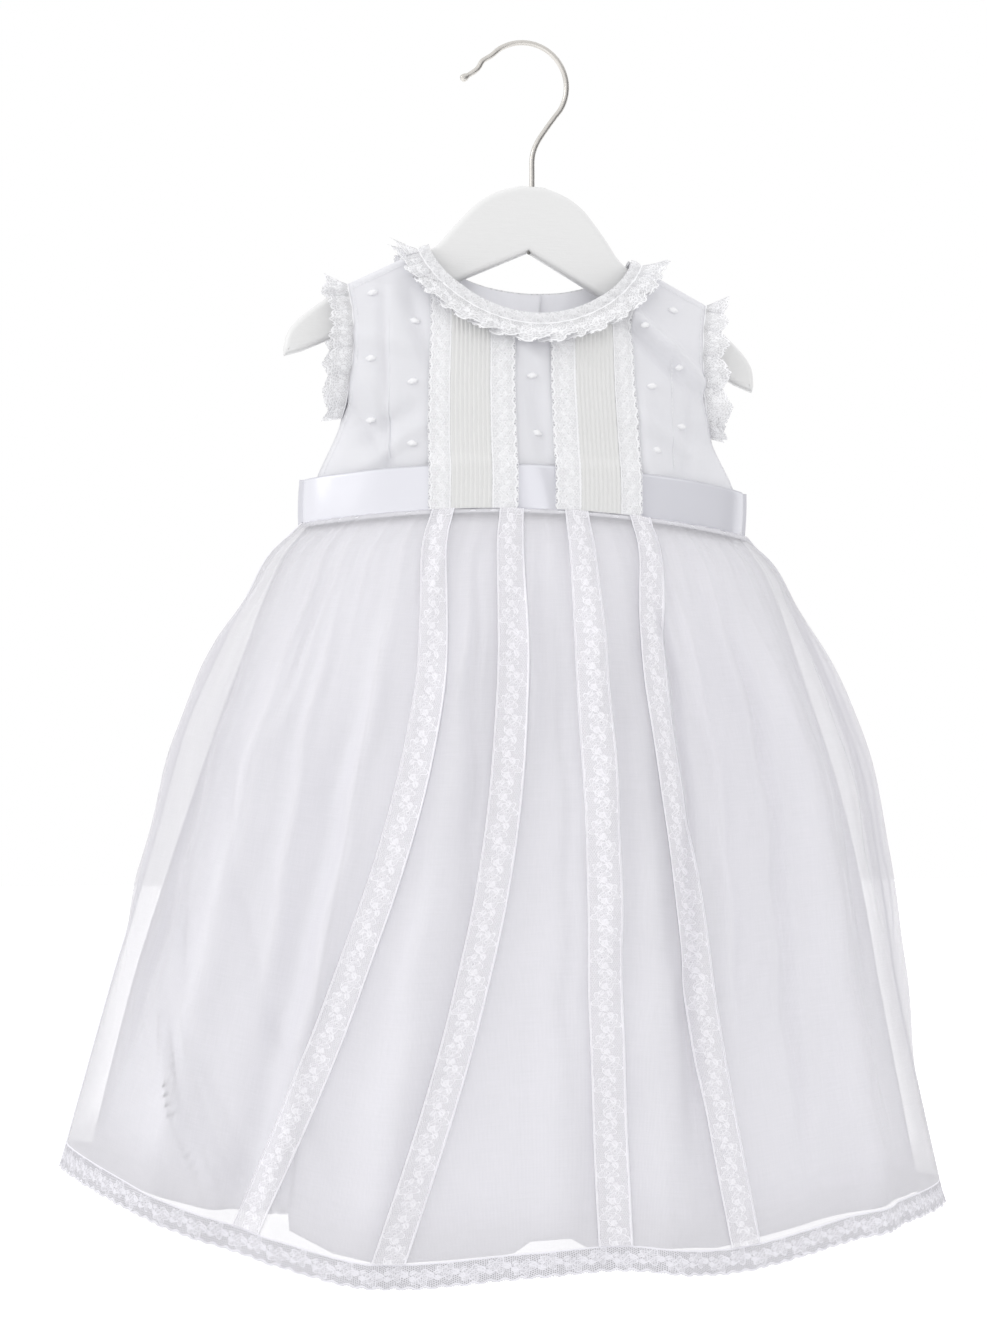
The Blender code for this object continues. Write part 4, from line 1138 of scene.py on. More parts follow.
def flower(along, across, at, height, spacing, size):
    """Five-petalled flowers in a row: cover from 0 to 1, brighter on their outlines."""
    radius, angle = nearest(along, across, at, height, spacing)
    petal = (angle * 5.0).cosine() * (size * 0.22) + size * 0.78
    gap = radius - petal
    fill = 1 - gap.step(-0.0004, 0.0002)
    rim = 1 - gap.size().step(0.0002, 0.0006)
    inner = (angle * 3.0 + 1.0).cosine() * (size * 0.12) + size * 0.42
    curl_line = 1 - (radius - inner).size().step(0.0002, 0.0005)
    ribs = (angle * 15.0).cosine() * 0.16 + 0.42
    eye = 1 - (radius - size * 0.16).size().step(0.0001, 0.0004)
    return (fill * ribs).greater(rim).greater(eye).greater(curl_line * 0.9)


def leaf(along, across, at, height, spacing, size, lean):
    """Paired leaves between the flowers."""
    radius, angle = nearest(along, across, at, height, spacing)
    angle = angle - lean
    edge = ((angle * 2.0).cosine() * 0.5 + 0.5) * size
    fill = 1 - (radius - edge).step(-0.0003, 0.0002)
    vein = 1 - (angle.sine() * radius).size().step(0.0001, 0.0003)
    return fill * (1 - vein * 0.5)


def net(along, across, pitch):
    """Six-sided net: 1 on its threads and low in its holes."""
    turn = 2 * math.pi / pitch
    slope = across * (turn * 0.866)
    half = along * (turn * 0.5)
    waves = (along * turn).cosine() + (half + slope).cosine() + (half - slope).cosine()
    return 1 - waves.step(-0.2, 1.1)


def lace_finish(name, colour):
    """Cotton lace: a net with flowers, leaves and a vine, between its two edges, with painted shade in
    its holes.
    """
    pattern = LACES[name]
    pitch = bpy.context.scene.dress_sizes.net_pitch * pattern.pitch
    repeat, size, sway = pattern.repeat, pattern.flower_size, pattern.sway
    finish = Finish(name, 0.8, Sheen_Weight=0.1)
    along, across = finish.cloth()
    place = finish.spot(along, across)
    along = along + (finish.noise(place, 160.0) - 0.5) * 0.0022
    across = across + (finish.noise(place, 140.0) - 0.5) * 0.0012
    middle = pattern.width * (0.46 if pattern.free_edge else 0.5)
    ground = net(along, across, pitch) * 0.8
    blooms = flower(along, across, 0.0, middle + sway, repeat * 2, size)
    blooms = blooms.greater(flower(along, across, repeat, middle - sway, repeat * 2, size))
    upper = leaf(along, across, repeat / 2, middle + sway * 0.4, repeat, size * 0.8, 0.6)
    lower = leaf(along, across, repeat / 2, middle - sway * 0.8, repeat, size * 0.7, -0.5)
    wave = (along * (2 * math.pi / repeat)).sine() * (sway * 1.5)
    vine = 1 - (across - middle + wave).size().step(0.0002, 0.0006)
    heading = 1 - across.step(0.0008, 0.0013)
    cover = ground.greater(blooms).greater(upper.greater(lower) * 0.9).greater(vine).greater(heading)
    body = 1.0
    if pattern.free_edge:
        dip = (along * (2 * math.pi / (repeat * 0.62))).cosine() * 0.5 + 0.5
        beyond = across - (pattern.width - dip * pattern.free_edge)
        cover = cover.greater(1 - (beyond + 0.0006).size().step(0.0003, 0.0008))
        picots = (along * (2 * math.pi / (pitch * 1.1))).cosine() * 0.5 + 0.5
        fringe = (picots * (1 - beyond.step(0.0003, 0.0016))).step(0.25, 0.6)
        body = 1 - beyond.step(0.0, 0.0003)
        cover = cover * body + fringe * (1 - body)
    else:
        cover = cover.greater((across - (pattern.width - 0.0013)).step(0.0, 0.0005))
    density = finish.noise(place, 500.0)
    backing = (density * 0.2 + (pattern.ground - 0.1)) * body
    alpha = (cover * pattern.thread + density * 0.1).greater(backing)
    finish.feed(finish.shader.inputs["Alpha"], alpha.lesser(1.0))
    # Painted shade: the holes between the threads take the thread colour at the pattern's shadow share,
    # darker than the threads.
    finish.colour(shade(colour, pattern.shadow), shade(colour, 1.03), cover)
    finish.relief(cover, 0.0004)
    return finish.material


def satin_finish(name, colour):
    """Satin ribbon: smooth floats along its length and a firm woven edge."""
    finish = Finish(name, 0.32, Metallic=0.3, Specular_IOR_Level=0.7)
    along, across = finish.cloth()
    floats = finish.noise(finish.spot(along * 0.05, across), 2600.0)
    edge = 1 - (across - 0.0006).lesser(SASH_WIDTH - 0.0006 - across).step(0.0, 0.0005)
    finish.colour(shade(colour, 1.0), shade(colour, 0.93), edge)
    finish.feed(finish.shader.inputs["Roughness"], floats * 0.12 + edge * 0.2 + 0.27)
    soft = finish.noise(finish.spot(along, across * 0.3), 45.0)
    finish.relief(floats * 0.12 + edge * 0.5 + soft, 0.0003)
    return finish.material


def paint_finish(name, colour):
    """White satin paint over wood, with a trace of its grain."""
    finish = Finish(name, 0.34, Coat_Weight=0.25, Coat_Roughness=0.2)
    where = finish.place()
    stretch = finish.node("ShaderNodeMapping", {}, {"Vector": where, "Scale": (18.0, 160.0, 160.0)})
    grain = finish.noise(stretch.outputs[0], 6.0, detail=5.0)
    brush = finish.noise(where, 900.0)
    finish.colour(shade(colour, 0.975), shade(colour, 1.015), grain)
    finish.feed(finish.shader.inputs["Roughness"], grain * 0.1 + 0.29)
    finish.relief(grain * 0.7 + brush * 0.3, 0.00018)
    return finish.material


def nickel_finish(name, colour):
    """Brushed nickel on wire, scratched round and along."""
    finish = Finish(name, 0.28, Metallic=1.0)
    along, across = finish.cloth()
    fine = finish.noise(finish.spot(along * 0.03, across), 3200.0)
    worn = finish.noise(finish.spot(along, across), 120.0)
    finish.colour(shade(colour, 0.86), shade(colour, 1.1), fine * 0.6 + worn * 0.4)
    finish.feed(finish.shader.inputs["Roughness"], fine * 0.16 + worn * 0.1 + 0.2)
    finish.relief(fine, 0.00005)
    return finish.material


def pearl_finish(name, colour):
    """Pearly button, clouded like shell."""
    finish = Finish(name, 0.2, Coat_Weight=0.6, Coat_Roughness=0.12, Sheen_Weight=0.2)
    cloud = finish.noise(finish.place(), 420.0, detail=4.0)
    finish.colour(shade(colour, 0.9), shade(colour, 1.08), cloud)
    finish.relief(cloud, 0.00006)
    return finish.material


def thread_finish(name, colour):
    """Sewing thread: twisted strands with a little shine."""
    finish = Finish(name, 0.55, Sheen_Weight=0.2)
    strands = finish.noise(finish.place(), 2500.0)
    finish.colour(shade(colour, 0.94), shade(colour, 1.03), strands)
    finish.relief(strands, 0.00008)
    return finish.material


Recipe = namedtuple("Recipe", "maker colour tone")
RECIPES = {
    "cotton": Recipe(cotton_finish, "cotton", 1.0),
    # lining_cotton is the cotton finish in the lighter lining colour, as painted light; the under-skirt
    # and the seam cords use it.
    "lining_cotton": Recipe(cotton_finish, "lining", 1.0),
    "tucked_cotton": Recipe(cotton_finish, "tucks", 1.0),
    "organza": Recipe(organza_finish, "organza", 1.0),
    "insertion_lace": Recipe(lace_finish, "organza", 1.0),
    "strip_lace": Recipe(lace_finish, "lace", 1.0),
    "binding_lace": Recipe(lace_finish, "lace", 0.92),
    "ruffle_lace": Recipe(lace_finish, "lace", 1.0),
    "hem_lace": Recipe(lace_finish, "edging", 1.0),
    "thread": Recipe(thread_finish, "lace", 1.0),
    "satin": Recipe(satin_finish, "satin", 1.0),
    "paint": Recipe(paint_finish, "paint", 1.0),
    "nickel": Recipe(nickel_finish, "nickel", 1.0),
    # Nickel at a third of its tone, as painted shade for the clinched end down in the notch.
    "shaded_nickel": Recipe(nickel_finish, "nickel", 0.3),
    "pearl": Recipe(pearl_finish, "pearl", 1.0),
}
FINISHES = {}


def finish_of(name):
    """Each finish is made once, when a piece first needs it."""
    if name not in FINISHES:
        recipe = RECIPES[name]
        colour = getattr(bpy.context.scene.dress_colours, recipe.colour)
        FINISHES[name] = recipe.maker(name, shade(colour, recipe.tone))
    return FINISHES[name]


def catmull(points, per_span):
    """A smooth run through given points, by their distance apart."""
    points = np.array(points, float)
    lengths = run_lengths(points[:, :2])
    spans = [np.linspace(a, b, per_span, endpoint=False) for a, b in zip(lengths, lengths[1:])]
    at = np.concatenate([*spans, lengths[-1:]])
    rows = [(length, *point) for length, point in zip(lengths, points)]
    return np.stack([smooth(rows, at, k + 1) for k in range(points.shape[1])], -1)


def make_hanger_body():
    """The painted wooden hanger, its outline smoothed and its edges rounded."""
    right = np.concatenate([catmull(HANGER_UPPER, 5), HANGER_LOWER])
    left = right[::-1] * (-1, 1)
    outline = np.concatenate([right, [(0.0, HANGER_NOTCH_DROP)], left])
    curve = bpy.data.curves.new("hanger_outline", "CURVE")
    curve.dimensions = "2D"
    curve.fill_mode = "BOTH"
    curve.extrude = HANGER_THICK / 2 - HANGER_ROUND
    curve.bevel_depth = HANGER_ROUND
    curve.bevel_resolution = 5
    curve.offset = -HANGER_ROUND
    spline = curve.splines.new("POLY")
    spline.points.add(len(outline) - 1)
    for knot, (x, drop) in zip(spline.points, outline):
        knot.co = (x, -drop, 0.0, 1.0)
    spline.use_cyclic_u = True
    drawn = bpy.data.objects.new("hanger_outline", curve)
    bpy.context.scene.collection.objects.link(drawn)
    flat = drawn.evaluated_get(bpy.context.evaluated_depsgraph_get())
    mesh = bpy.data.meshes.new_from_object(flat)
    mesh.transform(HANGER_PLACE @ Matrix.Rotation(math.pi / 2, 4, "X"))
    bpy.data.objects.remove(drawn, do_unlink=True)
    mesh.shade_smooth()
    mesh.set_sharp_from_angle(angle=math.radians(40))
    settle("painted_hanger", mesh, "paint", ["hanger_body"])


def make_hook():
    """The bent wire hook with its ball tip, and its clinched end in the notch."""
    turns = np.linspace(CROWN_START, CROWN_END, 13)
    crown = np.array(CROWN_CENTRE) + CROWN_RADIUS * stacked(np.cos(turns), np.sin(turns))
    route = [(x, z, 1.0) for x, z in (*HOOK_SHANK, *crown)] + list(HOOK_TIP)
    run = catmull(route, 7)
    path = stacked(run[:, 0], 0.0, run[:, 1])
    tip_away = np.linalg.norm(path - path[-1], axis=1)
    end = np.sqrt(np.clip(1 - (1 - tip_away / HOOK_BALL_END).clip(0, 1) ** 2, 0.02, 1))
    mesh = tube_mesh("wire_hook", path, WIRE_RADIUS * run[:, 2] * end, sides=20)
    settle("wire_hook", mesh, "nickel", ["hanger_hook"])
    apex = HANGER_PLACE @ Vector((0.0, 0.0, -HANGER_NOTCH_DROP))
    ends = np.array([apex + Vector((0, -HOOK_END_OUT, z)) for z, _ in HOOK_END])
    radii = np.array([share for _, share in HOOK_END]) * WIRE_RADIUS
    # The clinched end is drawn in darkened nickel: painted shade for its place in the notch.
    settle("hook_end", tube_mesh("hook_end", ends, radii, sides=14), "shaded_nickel")


def front_columns():
    """Columns across the front, closer together beside the shoulders."""
    inner = np.linspace(0, NECK_HALF, 46)
    outer = np.linspace(NECK_HALF, SHOULDER_HALF, 26)[1:]
    half = np.concatenate([inner, outer])
    return np.concatenate([-half[:0:-1], half])


def bodice_sheet(rise, top_x, side, neck_drop, lift=0.0):
    """Points of a creased bodice piece, and their flat places."""
    z = row_height(rise, top_x, neck_drop)
    x = column_x(top_x, z)
    relief = crease_relief(BODICE_CREASES[side], x, z)
    relief *= ease(0.0, 0.012, top_edge(top_x, neck_drop) - z)
    return bodice_point(x, z, side, relief + lift * lap_at(x)), stacked(x, z)


def make_bodice_front():
    """The front of the bodice, in one piece."""
    thick = bpy.context.scene.dress_sizes.cloth_thick
    rise, top_x = grid(rises(84), front_columns())
    points, flat = bodice_sheet(rise, top_x, FRONT, FRONT_NECK_DROP)
    thing = add_cloth(
        "front_bodice", points, flat, "cotton", ["bodice_front"], thick=thick
    )


def make_bodice_backs():
    """Two backs; the right one lies over the left at the centre."""
    thick = bpy.context.scene.dress_sizes.cloth_thick
    inner = np.linspace(-LAP_HALF, NECK_HALF, 50)
    outer = np.linspace(NECK_HALF, SHOULDER_HALF, 26)[1:]
    rise, column = grid(rises(80), np.concatenate([inner, outer]))
    for word, hand, lift in (("left", -1, 0.0), ("right", 1, 1.0)):
        points, flat = bodice_sheet(rise, column * hand, BACK, BACK_NECK_DROP, lift)
        name, node = f"back_bodice_{word}", f"bodice_back_{word}"
        thing = add_cloth(name, points, flat, "cotton", [node], thick=thick)


def strip_point(rise, top_x, out):
    """A strip on the front lies on the bodice, and passes over the sash."""
    z = row_height(rise, top_x, FRONT_NECK_DROP)
    x = column_x(top_x, z)
    relief = crease_relief(BODICE_CREASES[FRONT], x, z)
    low = bodice_point(x, z, FRONT, STRIP_LIFT + out + relief)
    high = off_surface(sash_depth, x, z, FRONT, STRIP_SASH_LIFT + out)
    share = ease(*STRIP_LEAVES_SASH, z - waist_height(x))[..., None]
    return high + (low - high) * share, z


def make_strip_lace(word, hand, place_word, start, end):
    """One lace strip; its heading is the edge beside the tucks."""
    rise, top_x = grid(rises(90), np.linspace(start, end, 9) * hand)
    wave = 0.00012 * np.sin(top_x * 900) * np.sin(rise * 60)
    points, z = strip_point(rise, top_x, wave)
    heading = end if place_word == "inner" else start
    across = np.abs(np.abs(top_x) - heading) / (end - start) * STRIP_LACE_WIDTH
    name, node = f"strip_lace_{word}_{place_word}", f"bodice_lace_{word}_{place_word}"
    thing = add_cloth(name, points, stacked(z, across), "strip_lace", [node])


def make_tucks(word, hand):
    """A panel of narrow tucks: each rises slowly and falls quickly."""
    height = bpy.context.scene.dress_sizes.tuck_height
    steps = 12
    rise, place = grid(rises(70), np.linspace(0, TUCK_COUNT, TUCK_COUNT * steps + 1))
    top_x = mix(TUCKS_INNER, TUCKS_OUTER, place / TUCK_COUNT) * hand
    fold = place % 1.0
    profile = np.where(fold < 0.62, fold / 0.62, (1 - fold) / 0.38) ** 0.8
    waver = 1 + 0.12 * np.sin(rise * 31 + np.floor(place) * 2.1)
    points, z = strip_point(rise, top_x, profile * height * waver - 0.0002)
    name, node = f"tucked_panel_{word}", f"tuck_panel_{word}"
    thing = add_cloth(name, points, stacked(z, top_x), "tucked_cotton", [node])


def make_strips():
    """Lace strips and tucked panels down the front of the bodice."""
    for word, hand in (("left", -1), ("right", 1)):
        make_strip_lace(word, hand, "inner", PANEL_EDGE, TUCKS_INNER)
        make_strip_lace(word, hand, "outer", TUCKS_OUTER, STRIP_OUTER)
        make_tucks(word, hand)


def neck_spot(share, neck_drop, reach):
    """A place beside the neckline: share runs left to right, reach runs away from it."""
    angle = np.pi * share
    x = -NECK_HALF * np.cos(angle) * (1 - SEAM_HALF / NECK_HALF)
    z = top_edge(x, neck_drop)
    lean = NECK_LEAN * -np.cos(angle)
    away_x = x + reach * np.sin(lean)
    away_z = z - reach * np.cos(lean)
    return away_x, np.minimum(away_z, shoulder_line(away_x))


def neck_points(neck, share, reach, stand):
    """Points beside the neckline that stand off the bodice, and off the lap behind."""
    x, z = neck_spot(share, neck.drop, reach)
    lift = lap_at(x) if neck.side == BACK else 0.0
    return bodice_point(x, z, neck.side, stand + lift)


def make_neck_bands():
    """A narrow lace binding round the neck."""
    for neck in NECK_EDGES:
        word, length = neck.word, neck.binding_long
        reach, share = grid(np.linspace(-0.0004, BINDING_WIDTH, 7), np.linspace(0, 1, 90))
        crown = 0.0007 * np.sin(np.pi * np.clip(reach / 0.0055, 0, 1))
        points = neck_points(neck, share, np.maximum(reach, 0.0), BINDING_LIFT + crown)
        points[..., 2] -= np.minimum(reach, 0.0)
        flat = stacked(share * length, BINDING_FOLD + np.maximum(reach, 0.0))
        name, node = f"neck_binding_{word}", f"neck_band_{word}"
        thing = add_cloth(name, points, flat, "binding_lace", [node])


def curl(steps, waves, seed):
    """Phase of uneven gathered waves along a ruffle."""
    rng = np.random.default_rng(seed)
    knots = np.cumsum(rng.uniform(0.75, 1.25, waves + 1))
    knots = (knots - knots[0]) / (knots[-1] - knots[0])
    turns = np.interp(steps, knots, np.arange(waves + 1))
    heights = np.interp(steps, knots, rng.uniform(0.6, 1.3, waves + 1))
    return 2 * np.pi * turns, heights


def make_neck_ruffles():
    """Lace gathered onto the neck binding, its free edge in small curls."""
    for neck in NECK_EDGES:
        word, waves, length = neck.word, neck.waves, neck.ruffle_long
        out_share, share = grid(np.linspace(0.0, 1.0, 16), np.linspace(0, 1, waves * 22))
        phase, height = curl(share, waves, neck.seed)
        grown = out_share**1.1
        slip = (0.40 * np.sin(phase) - 0.17 * np.sin(2 * phase)) / waves * grown * height
        slip *= ease(0, 0.03, np.minimum(share, 1 - share))
        at_shoulder = ease(0.8, 1.0, np.abs(2 * share - 1))
        rise = RUFFLE_STAND * (1 + np.cos(phase)) / 2 + RUFFLE_STAND_AT_SHOULDER * at_shoulder
        stand = BINDING_LIFT + rise * grown * height
        spread = RUFFLE_REACH * out_share * (0.86 + 0.20 * np.cos(phase + 0.6) * height)
        place = np.clip(share + slip, 0.001, 0.999)
        points = neck_points(neck, place, BINDING_WIDTH + spread, stand)
        flat = stacked(share * length, out_share * RUFFLE_WIDTH)
        name, node = f"neck_frill_{word}", f"neck_ruffle_{word}"
        thing = add_cloth(name, points, flat, "ruffle_lace", [node])


def armhole_spot(share, hand):
    """Edge of an armhole, its way out and its way across, from front to back."""
    around_hole = 2 * share - 1
    top = top_edge(np.full_like(around_hole, hand * SHOULDER_HALF), 0.0)
    z = top - ARMHOLE_DEPTH * 0.95 * np.abs(around_hole) ** 1.6
    x = hand * side_width(z)
    in_front = around_hole < 0
    edge = np.where(in_front[..., None], bodice_point(x, z, FRONT), bodice_point(x, z, BACK))
    side = np.where(in_front, FRONT, BACK)
    over = ease(0.82, 1.0, 1 - np.abs(around_hole))
    way_out = unit(stacked(hand * 0.97, side * 0.2 * (1 - over), -0.12 + 0.24 * over))
    across = unit(stacked(hand * 0.2 * (1 - over), side * (1 - over), 1.2 * over + 1e-6))
    return edge, way_out, across


def make_armhole_ruffles():
    """Gathered lace round each armhole."""
    for word, hand, width, waves, seed in ARMHOLES:
        out_share, share = grid(np.linspace(0, 1, 15), np.linspace(0, 1, waves * 20))
        phase, height = curl(share, waves, seed)
        grown = out_share**1.15
        slip = (0.30 * np.sin(phase) - 0.15 * np.sin(2 * phase)) / waves * grown
        slip *= ease(0, 0.04, np.minimum(share, 1 - share))
        edge, way_out, across = armhole_spot(np.clip(share + slip, 0, 1), hand)
        taper = 0.7 + 0.3 * ease(0.0, 0.08, np.minimum(share, 1 - share))
        along = width * out_share * taper * (0.84 + 0.20 * np.cos(phase) * height)
        swing = ARMHOLE_SWING * np.cos(phase) * grown * height
        points = edge + way_out * along[..., None] + across * swing[..., None]
        flat = stacked(share * ARMHOLE_LACE_LONG, out_share * RUFFLE_WIDTH)
        name, node = f"armhole_frill_{word}", f"armhole_ruffle_{word}"
        thing = add_cloth(name, points, flat, "ruffle_lace", [node])


def make_sash():
    """Satin ribbon round the waist, with soft upright ripples."""
    turns = np.linspace(0, 1, 361)
    rise, turn = grid(np.linspace(0, 1, 15), turns[:-1])
    front = turn < 0.5
    share = np.where(front, turn * 2, 2 - turn * 2)
    x = SASH_SHIFT - SASH_HALF * np.cos(np.pi * share)
    z = waist_height(x) + SASH_LIFT + SASH_WIDTH * rise
    across = x / SASH_HALF
    out = 0.0010 * np.sin(34 * across + 2 * rise) * np.exp(-((x / 0.03) ** 2))
    out += 0.0006 * np.sin(9 * across + 1.0) + 0.0003 * np.sin(23 * across - 1.5 * rise)
    out += 0.0004 * np.sin(np.pi * rise)
    in_front = off_surface(sash_depth, x, z, FRONT, out)
    behind = off_surface(sash_depth, x, z, BACK, out + np.where(front, 0.0, BACK_SASH_LIFT))
    points = np.where(front[..., None], in_front, behind)
    rise, turn = grid(np.linspace(0, 1, 15), turns)
    flat = stacked(turn * SASH_LONG, rise * SASH_WIDTH)
    thing = add_cloth(
        "satin_sash", points, flat, "satin", ["sash"], thick=SASH_THICK, ring=True
    )


def make_piping():
    """The covered cord in the waist seam."""
    angle = np.linspace(0, 2 * np.pi, 240, endpoint=False)
    x = -PIPING_HALF * np.cos(angle)
    z = waist_height(x) - 0.0002
    path = stacked(x + hang_shift(z), -PIPING_HALF_DEPTH * np.sin(angle), z)
    nodes = ["waist_piping"]
    add_tube("waist_cord", path, PIPING_RADIUS, 8, "cotton", nodes, closed=True)


def make_knots():
    """Small embroidered knots scattered over the front."""
    length = bpy.context.scene.dress_sizes.knot_length
    shapes = []
    for knot in KNOTS:
        x, z = knot.x - float(hang_shift(knot.z)), knot.z
        lift = float(crease_relief(BODICE_CREASES[FRONT], knot.x, knot.z)) + KNOT_LIFT
        seat = bodice_point(x, z, FRONT, lift)
        up = unit(bodice_point(x, z, FRONT, lift + 0.01) - seat)
        lean = math.radians(knot.lean)
        along = np.array([math.cos(lean), 0.0, math.sin(lean)])
        along = unit(along - up * np.dot(along, up))
        sizes = (length, KNOT_WIDTH, KNOT_HEIGHT)
        shapes.append(spindle(seat, along, up, *sizes, twists=1.6, rings=13, sides=14))
    add_threads("front_knots", shapes)


def make_darts():
    """A stitched dart each side of the front, from the chest to the waist."""
    for dart in DARTS:
        share = np.linspace(0, 1, 60)
        x = mix(dart.top[0], dart.foot[0], share)
        z = mix(dart.top[1], dart.foot[1], share)
        relief = crease_relief(BODICE_CREASES[FRONT], x, z)
        path = bodice_point(x - hang_shift(z), z, FRONT, relief + 0.0001)
        radius = dart.radius * ease(0, 0.2, share) + 0.0001
        add_tube(f"dart_{dart.word}", path, radius, 8, "cotton")


def make_buttons():
    """Domed pearl buttons with a rim and sewing thread across the middle."""
    sides = 40
    run = catmull(BUTTON_PROFILE, 3)
    height, turn = grid(np.arange(len(run)), np.linspace(0, 2 * np.pi, sides, endpoint=False))
    radius, rise = np.moveaxis(run[height.astype(int)], -1, 0)
    flat = stacked(*grid(np.linspace(0, 0.009, len(run)), np.linspace(0, 0.028, sides + 1)))
    for number, drop in enumerate(BUTTON_DROPS, 1):
        lift = LAP_LIFT + BUTTON_LIFT
        seat = bodice_point(0.0001, -drop, BACK, lift)
        up = unit(bodice_point(0.0001, -drop, BACK, lift + 0.01) - seat)
        side = unit(np.cross(up, (0.0, 0.0, 1.0)))
        other = np.cross(up, side)
        points = seat + side * (radius * np.cos(turn))[..., None] + up * rise[..., None]
        points = points + other * (radius * np.sin(turn))[..., None]
        nodes = [f"button_{number}"]
        add_cloth(f"pearl_button_{number}", points, flat, "pearl", nodes, ring=True)
        middle = seat + up * BUTTON_THREAD_RISE
        places = [middle + other * BUTTON_THREAD_APART * hand for hand in (-1, 1)]
        sizes = (BUTTON_THREAD_LONG, BUTTON_THREAD_THICK, BUTTON_THREAD_THICK)
        shapes = [spindle(at, side, up, *sizes, rings=5, sides=6) for at in places]
        add_threads(f"button_thread_{number}", shapes)


def make_stitching():
    """Rows of stitches along the seams, the strips, the armholes, the lap behind and the hems."""
    rows = []

    def bodice_row(x, z, side, out=0.0005):
        low = bodice_point(x, z, side, out)
        rows.append((low, bodice_point(x, z, side, out + 0.01) - low))

    bodice_row(np.full(40, 0.0846), np.linspace(-0.0568, -0.1275, 40), FRONT)
    rise = np.linspace(0.02, 0.985, 60)
    for hand in (-1, 1):
        for side, drop in ((FRONT, FRONT_NECK_DROP), (BACK, BACK_NECK_DROP)):
            top_x = np.full(60, hand * (SHOULDER_HALF - 0.0022))
            z = row_height(rise, top_x, drop)
            bodice_row(column_x(top_x, z), z, side)
            shoulder = np.linspace(NECK_HALF + 0.002, SHOULDER_HALF - 0.001, 30) * hand
            bodice_row(shoulder, top_edge(shoulder, drop) - 0.0045, side)
        for edge in (PANEL_EDGE, TUCKS_INNER, TUCKS_OUTER, STRIP_OUTER):
            points, _ = strip_point(np.linspace(0.01, 0.93, 60), np.full(60, hand * edge), 0.0004)
            rows.append((points, np.tile((0.0, -1.0, 0.0), (60, 1))))
    for x in (-LAP_HALF + 0.0012, LAP_HALF - 0.0012):
        bodice_row(np.full(50, x), np.linspace(-0.026, -0.128, 50), BACK, 0.0006 + LAP_LIFT)
    turn, fall = np.linspace(0.01, 0.99, 260), np.full(260, 0.965)
    for side in (FRONT, BACK):
        hem = lining_point(turn, fall, side, 0.0004)
        rows.append((hem, lining_point(turn, fall, side, 0.01) - hem))
    length = bpy.context.scene.dress_sizes.stitch_length
    shapes = []
    for path, outward in rows:
        shapes.extend(stitch_row(path, outward, length * STITCH_PITCH_SHARE, length))
    add_threads("machine_stitches", shapes)


def make_organza():
    """The outer skirt: one gathered sheer cloth each side."""
    falls = np.concatenate([np.linspace(0, 0.2, 40, endpoint=False), np.linspace(0.2, 1.0, 74)])
    for word, side in SKIRT_SIDES:
        fall, turn = grid(falls, np.linspace(0, 1, 330))
        points = organza_point(turn, fall, side)
        flat = stacked(fall * ORGANZA_LONG, turn * ORGANZA_WIDE)
        name, node = f"outer_skirt_{word}", f"organza_{word}"
        thing = add_cloth(name, points, flat, "organza", [node])


def insertion_turn(strip, fall, hand):
    """Where an insertion lies across the skirt; hand runs from -1 to 1 over its width."""
    falls = (0.0, INSERTION_UPPER, INSERTION_LOWER, 1.0)
    middle = smooth(tuple(zip(falls, strip[1:])), fall)
    return middle + hand * mix(INSERTION_HALF_WAIST, INSERTION_HALF_HEM, fall)


def make_insertions():
    """Four lace insertions down the front of the outer skirt, with rolled seams."""
    for strip in INSERTIONS:
        fall, across = grid(np.linspace(0, 1, 150), np.linspace(-1, 1, 13))
        turn = insertion_turn(strip, fall, across)
        points = organza_point(turn, fall, FRONT, INSERTION_LIFT + 0.0003 * (1 - across**2))
        flat = stacked(fall * INSERTION_LONG, (across + 1) * INSERTION_WIDE / 2)
        name, node = f"insertion_{strip.name}", f"skirt_lace_{strip.name}"
        thing = add_cloth(name, points, flat, "insertion_lace", [node])
        for word, hand in (("left", -1), ("right", 1)):
            fall = np.linspace(0, 1, 200)
            turn = insertion_turn(strip, fall, hand)
            path = organza_point(turn, fall, FRONT, INSERTION_SEAM_LIFT)
            name = f"insertion_seam_{strip.name}_{word}"
            # The seam cords take the lighter lining cotton: painted light against the shade beside them.
            add_tube(name, path, INSERTION_SEAM_RADIUS, 6, "lining_cotton")


def make_hem_lace():
    """Lace sewn below the organza's edge, with a scalloped and fringed foot."""
    width = HEM_EDGING_WIDTH
    for word, side in SKIRT_SIDES:
        reach, turn = grid(np.linspace(0, width, 12), np.linspace(0, 1, 420))
        wave = np.sin(turn * 210 + 1.2 * np.sin(turn * 37))
        flare = HEM_FLARE * (reach / width) ** 2 * wave
        edge = organza_point(turn, np.ones_like(turn), side, flare)
        above = organza_point(turn, np.full_like(turn, 0.94), side, flare)
        points = edge + unit(edge - above) * reach[..., None]
        flat = stacked(turn * ORGANZA_WIDE, reach)
        name, node = f"hem_edging_{word}", f"hem_lace_{word}"
        thing = add_cloth(name, points, flat, "hem_lace", [node])


def make_lining():
    """The plain opaque under-skirt with a turned hem."""
    thick = bpy.context.scene.dress_sizes.cloth_thick
    for word, side in SKIRT_SIDES:
        step = np.arccos(-np.array(LINING_STEP)) / np.pi
        turns = np.union1d(np.linspace(0, 1, 170), step if side == FRONT else [])
        fall, turn = grid(np.linspace(0, 1, 80), turns)
        points = lining_point(turn, fall, side, 0.0004 * ease(0.962, 0.968, fall))
        flat = stacked(fall * LINING_LONG, turn * LINING_WIDE)
        name, node = f"under_skirt_{word}", f"lining_{word}"
        thing = add_cloth(name, points, flat, "lining_cotton", [node], thick=thick)


